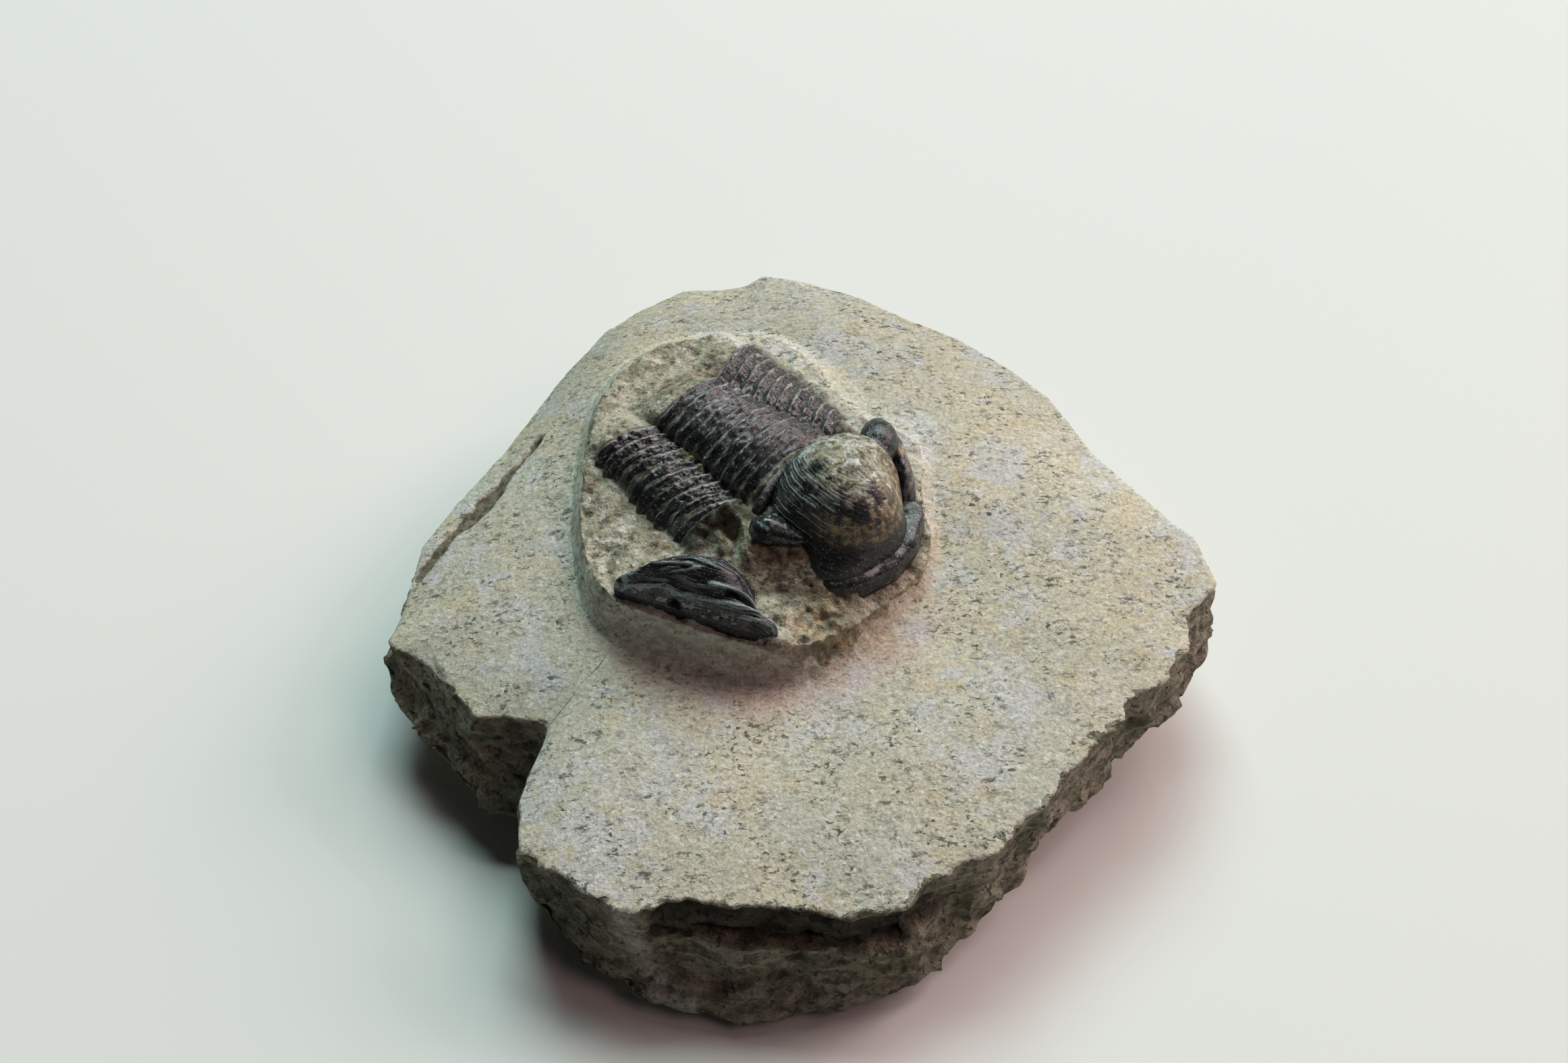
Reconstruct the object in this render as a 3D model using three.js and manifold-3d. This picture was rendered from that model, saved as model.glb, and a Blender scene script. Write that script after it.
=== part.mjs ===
// A Gerastos trilobite prepared in relief on its limestone block. The black calcite shell stands on a
// pedestal that was left when the pale rock around it was ground away. The cranidium and the thorax
// lie together, the right free cheek is in place, the left one has slipped forward and outward, and
// the tail is still under rock. The block's top is prepared, its sides are broken, and it is flat below.
//
// Millimetres, +X to the right, +Y away from the viewer, +Z up. The origin is the middle of the
// block's box, on the surface that it lies on. The fossil has its own frame, turned about Z: its x
// runs forward along the animal, its y across it to the animal's right, which is the far side, and
// its origin is midway between the eyes.

import * as THREE from "three";
import { mergeVertices } from "three/addons/utils/BufferGeometryUtils.js";
import Module from "manifold-3d";

const wasm = await Module();
wasm.setup();

const FOSSIL_AT = new THREE.Vector3(1.8, 2.3, 0);
const FOSSIL_TURN = THREE.MathUtils.degToRad(-44.5);
const PEDESTAL_CENTRE = new THREE.Vector2(-3, 4.5);
const FIT_GAP = 0.3; // between the shell and the pockets that it lies in

// The block's outlines, anticlockwise seen from above, each corner as x, y, z: the edge of the
// prepared face, the widest line of the broken sides, and the edge of the flat base.
const RIM = [
  [25.8, -0.9, 10.0],
  [24.8, 2.7, 10.2],
  [21.8, 6.0, 10.4],
  [19.0, 9.5, 10.5],
  [16.5, 14.4, 10.6],
  [10.8, 19.9, 10.6],
  [4.3, 24.0, 10.5],
  [-2.5, 26.3, 10.4],
  [-4.4, 25.2, 10.3],
  [-8.0, 25.2, 10.0],
  [-13.2, 21.7, 9.6],
  [-16.0, 17.6, 9.2],
  [-19.2, 11.5, 8.8],
  [-24.1, 3.7, 8.0],
  [-25.5, -3.6, 7.5],
  [-22.8, -5.5, 7.8],
  [-19.5, -9.6, 8.1],
  [-15.3, -10.4, 8.6],
  [-16.5, -15.6, 8.0],
  [-16.1, -18.8, 7.9],
  [-10.8, -22.6, 7.7],
  [-7.8, -22.2, 8.0],
  [2.4, -23.2, 8.1],
  [5.9, -22.9, 8.3],
  [7.7, -20.8, 8.6],
  [12.0, -18.5, 9.0],
  [17.6, -11.9, 9.5],
  [23.6, -5.8, 9.9],
  [23.7, -3.4, 10.0],
];
const BELT = [
  [26.3, 0.4, 8.0],
  [24.8, 3.2, 6.2],
  [21.2, 8.6, 5.2],
  [17.6, 14.4, 5.0],
  [12.0, 20.2, 5.0],
  [5.0, 24.2, 5.6],
  [-2.6, 25.8, 6.0],
  [-9.2, 25.0, 5.2],
  [-16.2, 18.4, 5.2],
  [-20.0, 11.8, 5.4],
  [-24.8, 3.6, 5.2],
  [-26.3, -3.5, 5.4],
  [-25.6, -5.2, 4.6],
  [-23.1, -9.1, 4.0],
  [-20.3, -11.9, 3.4],
  [-17.0, -13.6, 2.8],
  [-16.7, -17.9, 4.6],
  [-15.7, -19.7, 3.6],
  [-12.6, -22.7, 2.2],
  [-9.5, -24.7, 1.4],
  [-3.5, -26.3, 1.0],
  [6.7, -24.2, 1.4],
  [8.2, -22.3, 1.8],
  [14.3, -15.7, 3.2],
  [20.9, -8.7, 4.2],
  [25.6, -2.8, 5.8],
];
const BASE = [
  [20.5, -1.0, 0],
  [19.5, 5.0, 0],
  [15.0, 11.5, 0],
  [9.0, 17.5, 0],
  [0.0, 21.5, 0],
  [-8.5, 20.5, 0],
  [-15.0, 13.5, 0],
  [-20.0, 4.0, 0],
  [-20.8, -4.0, 0],
  [-17.0, -9.5, 0],
  [-13.6, -14.0, 0],
  [-12.5, -19.5, 0],
  [-9.0, -23.0, 0],
  [-3.5, -24.6, 0],
  [5.5, -22.6, 0],
  [10.5, -16.5, 0],
  [16.5, -8.5, 0],
];
// The pedestal's upper edge, and the line where its wall meets the prepared face: smooth loops.
const PEDESTAL_EDGE = [
  [8.0, 0.7, 12.0],
  [7.6, 4.4, 12.6],
  [7.2, 8.4, 12.9],
  [3.9, 10.8, 12.9],
  [0.9, 15.2, 12.7],
  [-2.6, 18.2, 12.4],
  [-9.1, 17.2, 12.5],
  [-12.6, 12.6, 12.6],
  [-13.6, 6.0, 12.2],
  [-13.3, 0.7, 12.0],
  [-11.7, -3.4, 12.6],
  [-9.0, -5.1, 12.8],
  [-5.4, -6.5, 12.7],
  [-1.5, -7.5, 12.5],
  [2.2, -6.2, 11.9],
  [6.6, -2.3, 11.8],
];
const PEDESTAL_FOOT = [
  [8.8, 1.2, 11.0],
  [9.0, 5.0, 11.9],
  [8.6, 9.4, 12.3],
  [5.2, 12.2, 12.4],
  [2.0, 16.4, 12.1],
  [-2.4, 19.6, 11.6],
  [-9.8, 18.6, 11.4],
  [-13.8, 13.2, 11.3],
  [-14.5, 6.4, 11.0],
  [-14.2, 0.8, 10.4],
  [-12.9, -3.9, 9.9],
  [-10.2, -6.4, 9.8],
  [-5.7, -8.2, 9.7],
  [-1.0, -8.8, 9.7],
  [3.0, -7.2, 10.0],
  [7.6, -3.0, 10.4],
];
const CHIP_DEPTH = 0.9; // how deep the chips in the broken sides are
const LOOP_SAMPLES = 90;
const WIDEST_SECTOR = THREE.MathUtils.degToRad(5);
const PLATEAU_HEIGHT = 12.8;

// The thorax: ten segments that narrow towards the rear. A pair of values is front, then rear.
const SEGMENTS = 10;
const THORAX_FRONT = -3.1;
const THORAX_LENGTH = 9.3;
const SEGMENT_PITCH = THORAX_LENGTH / SEGMENTS;
const SEGMENT_CHORD = 0.74;
const SEGMENT_THICKNESS = 1.0;
const SEGMENT_CROWN = 0.32; // how far a segment's edges lie below its middle
const AXIS_HALF_WIDTH = [3.7, 2.7];
const LEFT_HALF_WIDTH = [8.4, 7.1];
const RIGHT_HALF_WIDTH = [6.7, 7.6];
const CREST_HEIGHT = [16.4, 14.9];
const FURROW_HEIGHT = [14.0, 13.5];
const MARGIN_HEIGHT = [12.8, 12.6];
const PLEURA_BULGE = 0.45;
const TIP_SETBACK = 1.6; // how far a segment's ends lie behind its middle

// The head. The front border's line runs from the animal's right to its left.
const GLABELLA = { at: [0.9, -0.1, 13.3], radii: [4.5, 3.6, 5.5] };
const GLABELLA_RIGHT = { at: [0.4, 0.9, 14.0], radii: [3.4, 3.6, 4.6] };
const GLABELLA_BASE = { at: [-0.4, -0.2, 13.3], radii: [2.4, 4.1, 4.2] };
const GLABELLA_FRONT = { at: [3.0, -1.8, 12.8], radii: [2.2, 2.7, 2.5] };
const FIXED_CHEEKS = { at: [-0.2, 0, 12.7], radii: [2.8, 5.6, 1.9] };
const LEFT_EYE_REAR = { at: [-0.75, -4.75, 14.95], radii: [1.05, 0.85, 0.85], turn: 42 };
const LEFT_EYE_FRONT = { at: [0.25, -4.3, 14.75], radii: [1.4, 0.55, 0.65], turn: 28 };
const RIGHT_EYE_LOBE = { at: [-0.4, 4.8, 15.45], radii: [1.7, 1.2, 1.25], turn: -42 };
const LEFT_EYE_SOCLE = { at: [0.3, -4.6, 13.0], radii: [1.7, 0.8, 1.3], turn: 42 };
const RIGHT_EYE_SOCLE = { at: [-0.4, 4.2, 14.0], radii: [1.5, 1.1, 1.8], turn: -42 };
const LEFT_BRIDGE = { at: [-1.0, -3.2, 14.0], radii: [1.2, 1.4, 1.2] };
const RIGHT_BRIDGE = { at: [0.0, 3.9, 14.3], radii: [1.0, 1.4, 1.4] };
const OCCIPITAL = { along: -2.5, chord: 0.9, halfWidth: 4.2, crest: 16.6, side: 13.6 };
const BORDER_LINE = [
  [3.8, 3.3, 13.0],
  [4.2, 3.0, 12.9],
  [5.1, 1.5, 12.8],
  [5.4, -0.4, 12.7],
  [5.0, -2.3, 12.6],
  [4.2, -3.8, 12.6],
  [3.0, -4.7, 12.6],
];
const BORDER_HALF_WIDTH = 0.7;
const BORDER_HALF_HEIGHT = 1.0;
const HEAD_FLOOR = 11.8;
const HEAD_PLATE_TOP = 13.0;
const HEAD_OUTLINE = [
  [-2.8, 0],
  [-2.7, 3.4],
  [-2.0, 5.0],
  [-0.6, 5.1],
  [1.6, 4.4],
  [3.0, 4.0],
  [4.5, 3.2],
  [5.6, 0.9],
  [5.7, -1.0],
  [5.1, -3.1],
  [4.1, -4.5],
  [2.6, -5.1],
  [1.2, -5.4],
  [-0.6, -6.0],
  [-2.0, -5.6],
  [-2.7, -3.6],
];

// The rock beside the head, in the fossil's frame: a slope from the left eye down to the border, with
// its height at one place, its rise per millimetre each way and where it ends, and low mounds.
const EYE_SLOPE = {
  at: [0.3, -5],
  height: 14.3,
  forward: -0.38,
  right: 0.46,
  rear: -0.8,
  front: 4.4,
  side: -3.2,
};
const MOUNDS = [
  { at: [-2.6, -6.4], radius: 2.6, height: 0.9 },
  { at: [2.8, -7.8], radius: 2.2, height: 0.7 },
];

// The cheeks as stations along each: its middle line, its half width, and its ridge's height.
const LEFT_CHEEK = {
  floor: 12.2,
  lean: [0.45, 0.9],
  stations: [
    { at: [-5.1, -13.1], half: 0.4, top: 13.9 },
    { at: [-4.2, -12.4], half: 1.0, top: 14.8 },
    { at: [-3.0, -11.3], half: 1.9, top: 15.8 },
    { at: [-1.4, -10.2], half: 2.5, top: 16.3 },
    { at: [0.1, -9.8], half: 2.2, top: 16.0 },
    { at: [1.4, -9.8], half: 1.4, top: 15.2 },
    { at: [2.7, -9.7], half: 0.8, top: 14.4 },
    { at: [4.0, -9.1], half: 0.5, top: 13.8 },
  ],
};
const RIGHT_CHEEK = {
  floor: 11.9,
  lean: [-0.3, -0.95],
  stations: [
    { at: [-2.5, 6.1], half: 0.4, top: 14.4 },
    { at: [-1.4, 6.0], half: 0.8, top: 15.4 },
    { at: [0.0, 5.7], half: 0.9, top: 15.9 },
    { at: [1.5, 5.0], half: 0.8, top: 15.2 },
    { at: [2.7, 4.3], half: 0.6, top: 14.3 },
  ],
};

const lerp = THREE.MathUtils.lerp;
const smooth = (x) => THREE.MathUtils.smoothstep(x, 0, 1);
const dome = (x) => Math.sqrt(Math.max(0, 1 - x * x));

// A closed surface: a pole, rings of equal counts, and a pole, with its faces pointing outward.
function ringSurface(first, rings, last) {
  const count = rings[0].length;
  const points = [first, ...rings.flat(), last];
  const at = (ring, j) => 1 + ring * count + (j % count);
  const faces = [];
  for (let j = 0; j < count; j++) {
    faces.push([0, at(0, j), at(0, j + 1)]);
    for (let k = 0; k + 1 < rings.length; k++) {
      faces.push([at(k, j), at(k + 1, j), at(k + 1, j + 1)]);
      faces.push([at(k, j), at(k + 1, j + 1), at(k, j + 1)]);
    }
    faces.push([at(rings.length - 1, j), points.length - 1, at(rings.length - 1, j + 1)]);
  }
  const sixVolumes = faces.reduce((sum, [a, b, c]) => {
    const turned = new THREE.Vector3().crossVectors(points[b], points[c]);
    return sum + points[a].dot(turned);
  }, 0);
  const outward = sixVolumes > 0 ? faces : faces.map(([a, b, c]) => [a, c, b]);
  return new THREE.BufferGeometry().setFromPoints(points).setIndex(outward.flat());
}

const middleOf = (loop) =>
  loop.reduce((sum, p) => sum.add(p), new THREE.Vector3()).divideScalar(loop.length);
const closedBetween = (loops) => ringSurface(middleOf(loops[0]), loops, middleOf(loops.at(-1)));

function toSolid(geometry) {
  const bare = new THREE.BufferGeometry();
  bare.setAttribute("position", geometry.getAttribute("position"));
  bare.setIndex(geometry.getIndex());
  const merged = mergeVertices(bare);
  return new wasm.Manifold(
    new wasm.Mesh({
      numProp: 3,
      vertProperties: merged.getAttribute("position").array,
      triVerts: new Uint32Array(merged.getIndex().array),
    }),
  );
}

function toGeometry(solid) {
  const mesh = solid.getMesh();
  const geometry = new THREE.BufferGeometry();
  geometry.setAttribute("position", new THREE.BufferAttribute(mesh.vertProperties, 3));
  geometry.setIndex(new THREE.BufferAttribute(mesh.triVerts, 1));
  return geometry;
}

const fossilMatrix = new THREE.Matrix4().makeRotationZ(FOSSIL_TURN).setPosition(FOSSIL_AT);
const toFossilFrame = fossilMatrix.clone().invert();

// The thorax's upper surface. A share runs from 0 at its front to 1 at its rear. A lane runs across it:
// 0 on the crest, 1 in the furrow that bounds the axis, 2 at the margin, and below 0 on the left.
const axisWidthAt = (share) => lerp(...AXIS_HALF_WIDTH, share);
const halfWidthAt = (share, lane) =>
  lerp(...(lane < 0 ? LEFT_HALF_WIDTH : RIGHT_HALF_WIDTH), share);
const setback = (lane) => TIP_SETBACK * smooth((Math.abs(lane) - 0.6) / 1.4);
function acrossAt(share, lane) {
  const axis = axisWidthAt(share);
  const out = Math.max(Math.abs(lane) - 1, 0) * (halfWidthAt(share, lane) - axis);
  return Math.sign(lane) * (Math.min(Math.abs(lane), 1) * axis + out);
}
function laneAt(share, across) {
  const axis = axisWidthAt(share);
  const side = Math.abs(across);
  const out = Math.max(side - axis, 0) / (halfWidthAt(share, across) - axis);
  return Math.sign(across) * (Math.min(side / axis, 1) + out);
}
function thoraxHeight(share, lane) {
  const furrow = lerp(...FURROW_HEIGHT, share);
  const side = Math.abs(lane);
  if (side < 1) return furrow + (lerp(...CREST_HEIGHT, share) - furrow) * dome(side);
  const out = Math.min(side - 1, 1);
  const drop = furrow - lerp(...MARGIN_HEIGHT, share);
  return furrow + 4 * PLEURA_BULGE * out * (1 - out) - drop * out ** 2;
}
const LEFT_LANES = [-2, -1.75, -1.5, -1.25, -1, -0.93, -0.75, -0.4];
const LANES = [...LEFT_LANES, 0, ...LEFT_LANES.map((lane) => -lane).reverse()];

// One segment: a strip across the animal with a crowned top and blunt ends.
function segment(index) {
  const share = (index + 0.5) / SEGMENTS;
  const middle = THORAX_FRONT - SEGMENT_PITCH * (index + 0.5);
  const loops = LANES.map((lane) => {
    const along = middle - setback(lane);
    const chord = SEGMENT_CHORD * (Math.abs(lane) === 2 ? 0.6 : 1);
    const top = thoraxHeight(share, lane);
    const point = (step, depth) =>
      new THREE.Vector3(along + chord * step, acrossAt(share, lane), top - depth);
    return [
      ...[0.5, 0.25, -0.25, -0.5].map((step) => point(step, SEGMENT_CROWN * (2 * step) ** 2)),
      point(-0.5, SEGMENT_THICKNESS),
      point(0.5, SEGMENT_THICKNESS),
    ];
  });
  return closedBetween(loops);
}

// What is cut out of the rock for the thorax: one trough under all of its segments.
function thoraxTrough() {
  const shares = [0, 0.25, 0.5, 0.75, 1];
  const clearance = 3;
  const loops = LANES.map((lane) => {
    const place = (share, depth) => {
      const margin = Math.abs(lane) === 2 ? Math.sign(lane) * FIT_GAP : 0;
      const end = (share - 0.5) * 2 * FIT_GAP;
      const along = THORAX_FRONT - THORAX_LENGTH * share - end - setback(lane);
      const height = thoraxHeight(share, lane) - depth;
      return new THREE.Vector3(along, acrossAt(share, lane) + margin, height);
    };
    const upper = shares.map((share) => place(share, -clearance));
    const lower = shares.map((share) => place(share, SEGMENT_THICKNESS + FIT_GAP));
    return [...upper, ...lower.reverse()];
  });
  return toSolid(closedBetween(loops));
}

function ellipsoid({ at, radii, turn = 0 }, grow, columns, rows) {
  const geometry = new THREE.SphereGeometry(1, columns, rows);
  geometry.deleteAttribute("normal");
  geometry.deleteAttribute("uv");
  geometry.rotateX(Math.PI / 2);
  geometry.scale(...radii.map((r) => r + grow));
  geometry.rotateZ(THREE.MathUtils.degToRad(turn));
  geometry.translate(...at);
  return toSolid(geometry);
}

// A bar of oval section along a smooth line, with blunt ends.
function bar(line, halfWidth, halfHeight, grow, steps, sides) {
  const curve = new THREE.CatmullRomCurve3(line.map((p) => new THREE.Vector3(...p)));
  const loops = [];
  for (let k = 0; k <= steps; k++) {
    const at = curve.getPointAt(k / steps);
    const run = curve.getTangentAt(k / steps);
    const side = new THREE.Vector3(-run.y, run.x, 0).normalize();
    const taper = k === 0 || k === steps ? 0.6 : 1;
    const loop = Array.from({ length: sides }, (_, j) => {
      const turn = (2 * Math.PI * j) / sides;
      const rise = Math.sin(turn) * (halfHeight * taper + grow);
      return at
        .clone()
        .addScaledVector(side, Math.cos(turn) * (halfWidth * taper + grow))
        .add(new THREE.Vector3(0, 0, rise));
    });
    loops.push(loop);
  }
  return toSolid(closedBetween(loops));
}

function belowHead(grow) {
  const box = new THREE.BoxGeometry(60, 60, 20);
  box.deleteAttribute("normal");
  box.deleteAttribute("uv");
  box.translate(0, 0, HEAD_FLOOR - grow - 10);
  return toSolid(box);
}

// The head shield's middle, under its raised parts, as a plate of even thickness.
function headPlate(grow) {
  const curve = new THREE.CatmullRomCurve3(
    HEAD_OUTLINE.map(([x, y]) => new THREE.Vector3(x, y, 0)),
    true,
  );
  const outline = curve.getPoints(36).slice(0, -1);
  const grown = outline.map((p, i) => {
    const run = curve.getTangent(i / outline.length);
    return new THREE.Vector2(p.x + run.y * -grow, p.y + run.x * grow);
  });
  const plate = new THREE.ExtrudeGeometry(new THREE.Shape(grown), {
    depth: HEAD_PLATE_TOP - HEAD_FLOOR + grow,
    bevelEnabled: false,
  });
  plate.deleteAttribute("normal");
  plate.deleteAttribute("uv");
  plate.translate(0, 0, HEAD_FLOOR);
  return toSolid(plate);
}

function occipitalRing(grow) {
  const { along, chord, halfWidth, crest, side } = OCCIPITAL;
  const line = [-1, -0.9, -0.6, 0, 0.6, 0.9, 1].map((part) => {
    const height = side + (crest - side) * dome(part);
    return [along, part * halfWidth, height - 1];
  });
  return bar(line, chord / 2, 1, grow, 14, 8);
}

function cranidium(grow) {
  return headPlate(grow)
    .add(ellipsoid(GLABELLA, grow, 22, 14))
    .add(ellipsoid(GLABELLA_RIGHT, grow, 22, 14))
    .add(ellipsoid(GLABELLA_BASE, grow, 16, 10))
    .add(ellipsoid(GLABELLA_FRONT, grow, 16, 10))
    .add(ellipsoid(FIXED_CHEEKS, grow, 16, 10))
    .add(ellipsoid(LEFT_EYE_REAR, grow, 12, 8))
    .add(ellipsoid(LEFT_EYE_FRONT, grow, 12, 8))
    .add(ellipsoid(RIGHT_EYE_LOBE, grow, 12, 10))
    .add(ellipsoid(LEFT_EYE_SOCLE, grow, 10, 8))
    .add(ellipsoid(RIGHT_EYE_SOCLE, grow, 10, 8))
    .add(ellipsoid(LEFT_BRIDGE, grow, 10, 8))
    .add(ellipsoid(RIGHT_BRIDGE, grow, 12, 8))
    .add(occipitalRing(grow))
    .add(bar(BORDER_LINE, BORDER_HALF_WIDTH, BORDER_HALF_HEIGHT, grow, 14, 10))
    .subtract(belowHead(grow));
}

// A free cheek: a ridged wedge along its stations, flat below.
function cheek({ floor, lean, stations }, grow) {
  const across = new THREE.Vector2(...lean).normalize();
  const profile = [
    [-1, 0],
    [-0.85, 0.45],
    [-0.4, 0.85],
    [0.1, 1],
    [0.6, 0.8],
    [1, 0.25],
  ];
  const loops = stations.map(({ at, half, top }) => {
    const place = (part, height) =>
      new THREE.Vector3(
        at[0] + across.x * part * (half + grow),
        at[1] + across.y * part * (half + grow),
        height,
      );
    const upper = profile.map(([part, rise]) => place(part, lerp(floor + 0.9, top, rise) + grow));
    return [...upper, place(1, floor - grow), place(-1, floor - grow)];
  });
  const beyondEnd = (index, neighbour) => {
    const [near, next] = [middleOf(loops.at(index)), middleOf(loops.at(neighbour))];
    const away = near.clone().sub(next).setLength(0.25 + grow);
    return near.add(away);
  };
  return toSolid(ringSurface(beyondEnd(0, 1), loops, beyondEnd(-1, -2)));
}
const leftCheek = () => cheek(LEFT_CHEEK, 0);
const rightCheek = () => cheek(RIGHT_CHEEK, 0).subtract(cranidium(FIT_GAP));

// Where the ray from the pedestal's centre crosses an outline, with the outline's height there.
function crossing(corners, angle) {
  const centre = PEDESTAL_CENTRE;
  const ray = new THREE.Vector2(Math.cos(angle), Math.sin(angle));
  const nearest = corners.map(([x0, y0, z0], i) => {
    const [x1, y1, z1] = corners[(i + 1) % corners.length];
    const from = new THREE.Vector2(x0 - centre.x, y0 - centre.y);
    const edge = new THREE.Vector2(x1 - x0, y1 - y0);
    const distance = from.cross(edge) / ray.cross(edge);
    const share = from.cross(ray) / ray.cross(edge);
    const miss = distance > 0 ? Math.max(-share, share - 1, 0) : Infinity;
    return { distance, miss, height: lerp(z0, z1, share) };
  });
  const { distance, height } = nearest.reduce((best, one) => (one.miss < best.miss ? one : best));
  return new THREE.Vector3(
    centre.x + ray.x * distance,
    centre.y + ray.y * distance,
    height,
  );
}

// The directions of the rim's and the belt's corners, with more between those that lie far apart.
function sectorAngles() {
  const corners = [...RIM, ...BELT].map(([x, y]) =>
    Math.atan2(y - PEDESTAL_CENTRE.y, x - PEDESTAL_CENTRE.x),
  );
  const sorted = [...corners].sort((a, b) => a - b);
  return sorted.flatMap((angle, i) => {
    const next = sorted[i + 1] ?? sorted[0] + 2 * Math.PI;
    const parts = Math.max(1, Math.ceil((next - angle) / WIDEST_SECTOR));
    return Array.from({ length: parts }, (_, k) => lerp(angle, next, k / parts));
  });
}

function smoothLoop(points) {
  const curve = new THREE.CatmullRomCurve3(points.map((p) => new THREE.Vector3(...p)), true);
  return curve.getPoints(LOOP_SAMPLES).slice(0, -1).map((p) => p.toArray());
}

// The slope's height, which falls off past its rear, its front and its side under the head.
function eyeSlopeHeight(x, y) {
  const { at, height, forward, right, rear, front, side } = EYE_SLOPE;
  const slope = height + forward * (x - at[0]) + right * (y - at[1]);
  const ends = 0.9 * Math.max(0, rear - x) + 0.6 * Math.max(0, x - front);
  return slope - ends - 9 * smooth((y - side) / -side);
}

function moundHeight(x, y) {
  return MOUNDS.reduce((sum, { at, radius, height }) => {
    return sum + height * smooth(1 - Math.hypot(x - at[0], y - at[1]) / radius);
  }, 0);
}

// The rock under the shell: the pedestal's top, raised inside the thorax, behind it and by the head.
function bedHeight(point) {
  const { x, y } = point.clone().setZ(0).applyMatrix4(toFossilFrame);
  const clampShare = (back) => THREE.MathUtils.clamp(back / THORAX_LENGTH, 0, 1);
  const nearLane = laneAt(clampShare(THORAX_FRONT - x), y);
  const back = THORAX_FRONT - x - setback(nearLane);
  const share = clampShare(back);
  const lane = laneAt(share, y);
  const beyond = Math.max(-3 * back, back - THORAX_LENGTH, 0);
  const raised = thoraxHeight(share, lane) - 0.4 - point.z;
  const within = 1 - smooth(2.5 * (Math.abs(lane) - 2));
  const bed = point.z + Math.max(0, raised) * (1 - smooth(beyond / 4)) * within;
  return Math.max(bed + moundHeight(x, y), eyeSlopeHeight(x, y));
}

// Moves each point of a ring towards the pedestal by its own share of a depth: irregular chips.
function chipped(ring, seed) {
  return ring.map((p, j) => {
    const wave = Math.sin(1.9 * j + seed) + Math.sin(3.1 * j + 2 * seed);
    const inward = new THREE.Vector3(PEDESTAL_CENTRE.x - p.x, PEDESTAL_CENTRE.y - p.y, 0);
    return p.clone().add(inward.setLength((CHIP_DEPTH * (wave + 2)) / 4));
  });
}

function block() {
  const angles = sectorAngles();
  const loops = [smoothLoop(PEDESTAL_EDGE), smoothLoop(PEDESTAL_FOOT), RIM, BELT, BASE];
  const [edge, foot, rim, belt, base] = loops.map((loop) =>
    angles.map((angle) => crossing(loop, angle)),
  );
  const between = (inner, outer, share, lift = 0) =>
    inner.map((p, j) => {
      const q = p.clone().lerp(outer[j], share);
      return q.setZ(q.z + lift);
    });
  const centre = new THREE.Vector3(PEDESTAL_CENTRE.x, PEDESTAL_CENTRE.y, PLATEAU_HEIGHT);
  const onBed = (p) => p.clone().setZ(bedHeight(p));
  const plateau = [0.2, 0.4, 0.6, 0.78, 0.92].map((share) =>
    edge.map((p) => onBed(centre.clone().lerp(p, share))),
  );
  const rings = [
    ...plateau,
    edge,
    between(edge, foot, 0.3, -0.4),
    foot,
    between(foot, rim, 0.25, 0.1),
    between(foot, rim, 0.65, 0.35),
    rim,
    chipped(between(rim, belt, 0.3), 0.4),
    chipped(between(rim, belt, 0.65), 2.1),
    belt,
    chipped(between(belt, base, 0.4, 0.2), 1.2),
    base,
  ];
  const bottom = new THREE.Vector3(PEDESTAL_CENTRE.x, PEDESTAL_CENTRE.y, 0);
  return toSolid(ringSurface(onBed(centre), rings, bottom));
}

function blockWithPockets() {
  const cheeks = [LEFT_CHEEK, RIGHT_CHEEK].map((shape) => cheek(shape, FIT_GAP));
  const pockets = [thoraxTrough(), cranidium(FIT_GAP), ...cheeks];
  return pockets.reduce((rock, pocket) => {
    const placed = toGeometry(pocket).applyMatrix4(fossilMatrix);
    return rock.subtract(toSolid(placed));
  }, block());
}

const limestone = new THREE.MeshStandardMaterial({
  color: new THREE.Color(0.62, 0.6, 0.5),
  roughness: 0.92,
  metalness: 0,
});
const calcite = new THREE.MeshStandardMaterial({
  color: new THREE.Color(0.05, 0.05, 0.05),
  roughness: 0.35,
  metalness: 0,
});

function named(name, geometry, material) {
  const mesh = new THREE.Mesh(geometry, material);
  mesh.name = name;
  return mesh;
}

function build() {
  const specimen = new THREE.Group();
  const fossil = new THREE.Group();
  fossil.position.copy(FOSSIL_AT);
  fossil.rotation.z = FOSSIL_TURN;
  specimen.add(fossil);

  fossil.add(named("cranidium", toGeometry(cranidium(0)), calcite));
  fossil.add(named("left_free_cheek", toGeometry(leftCheek()), calcite));
  fossil.add(named("right_free_cheek", toGeometry(rightCheek()), calcite));
  for (let i = 0; i < SEGMENTS; i++) {
    const number = String(i + 1).padStart(2, "0");
    fossil.add(named(`thorax_segment_${number}`, segment(i), calcite));
  }
  specimen.add(named("matrix_stone", toGeometry(blockWithPockets()), limestone));
  return specimen;
}

export default build();
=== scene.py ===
# A Gerastos trilobite in black calcite, prepared in relief on its pale limestone block.
# Shapes are worked out in millimetres in the CAD's frame and turned to metres when a mesh is made.
# In the fossil's own frame, a place is a forward along the animal and t towards its right.
import math
from functools import cache

import bpy
import numpy as np
from mathutils import Matrix, Vector


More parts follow.
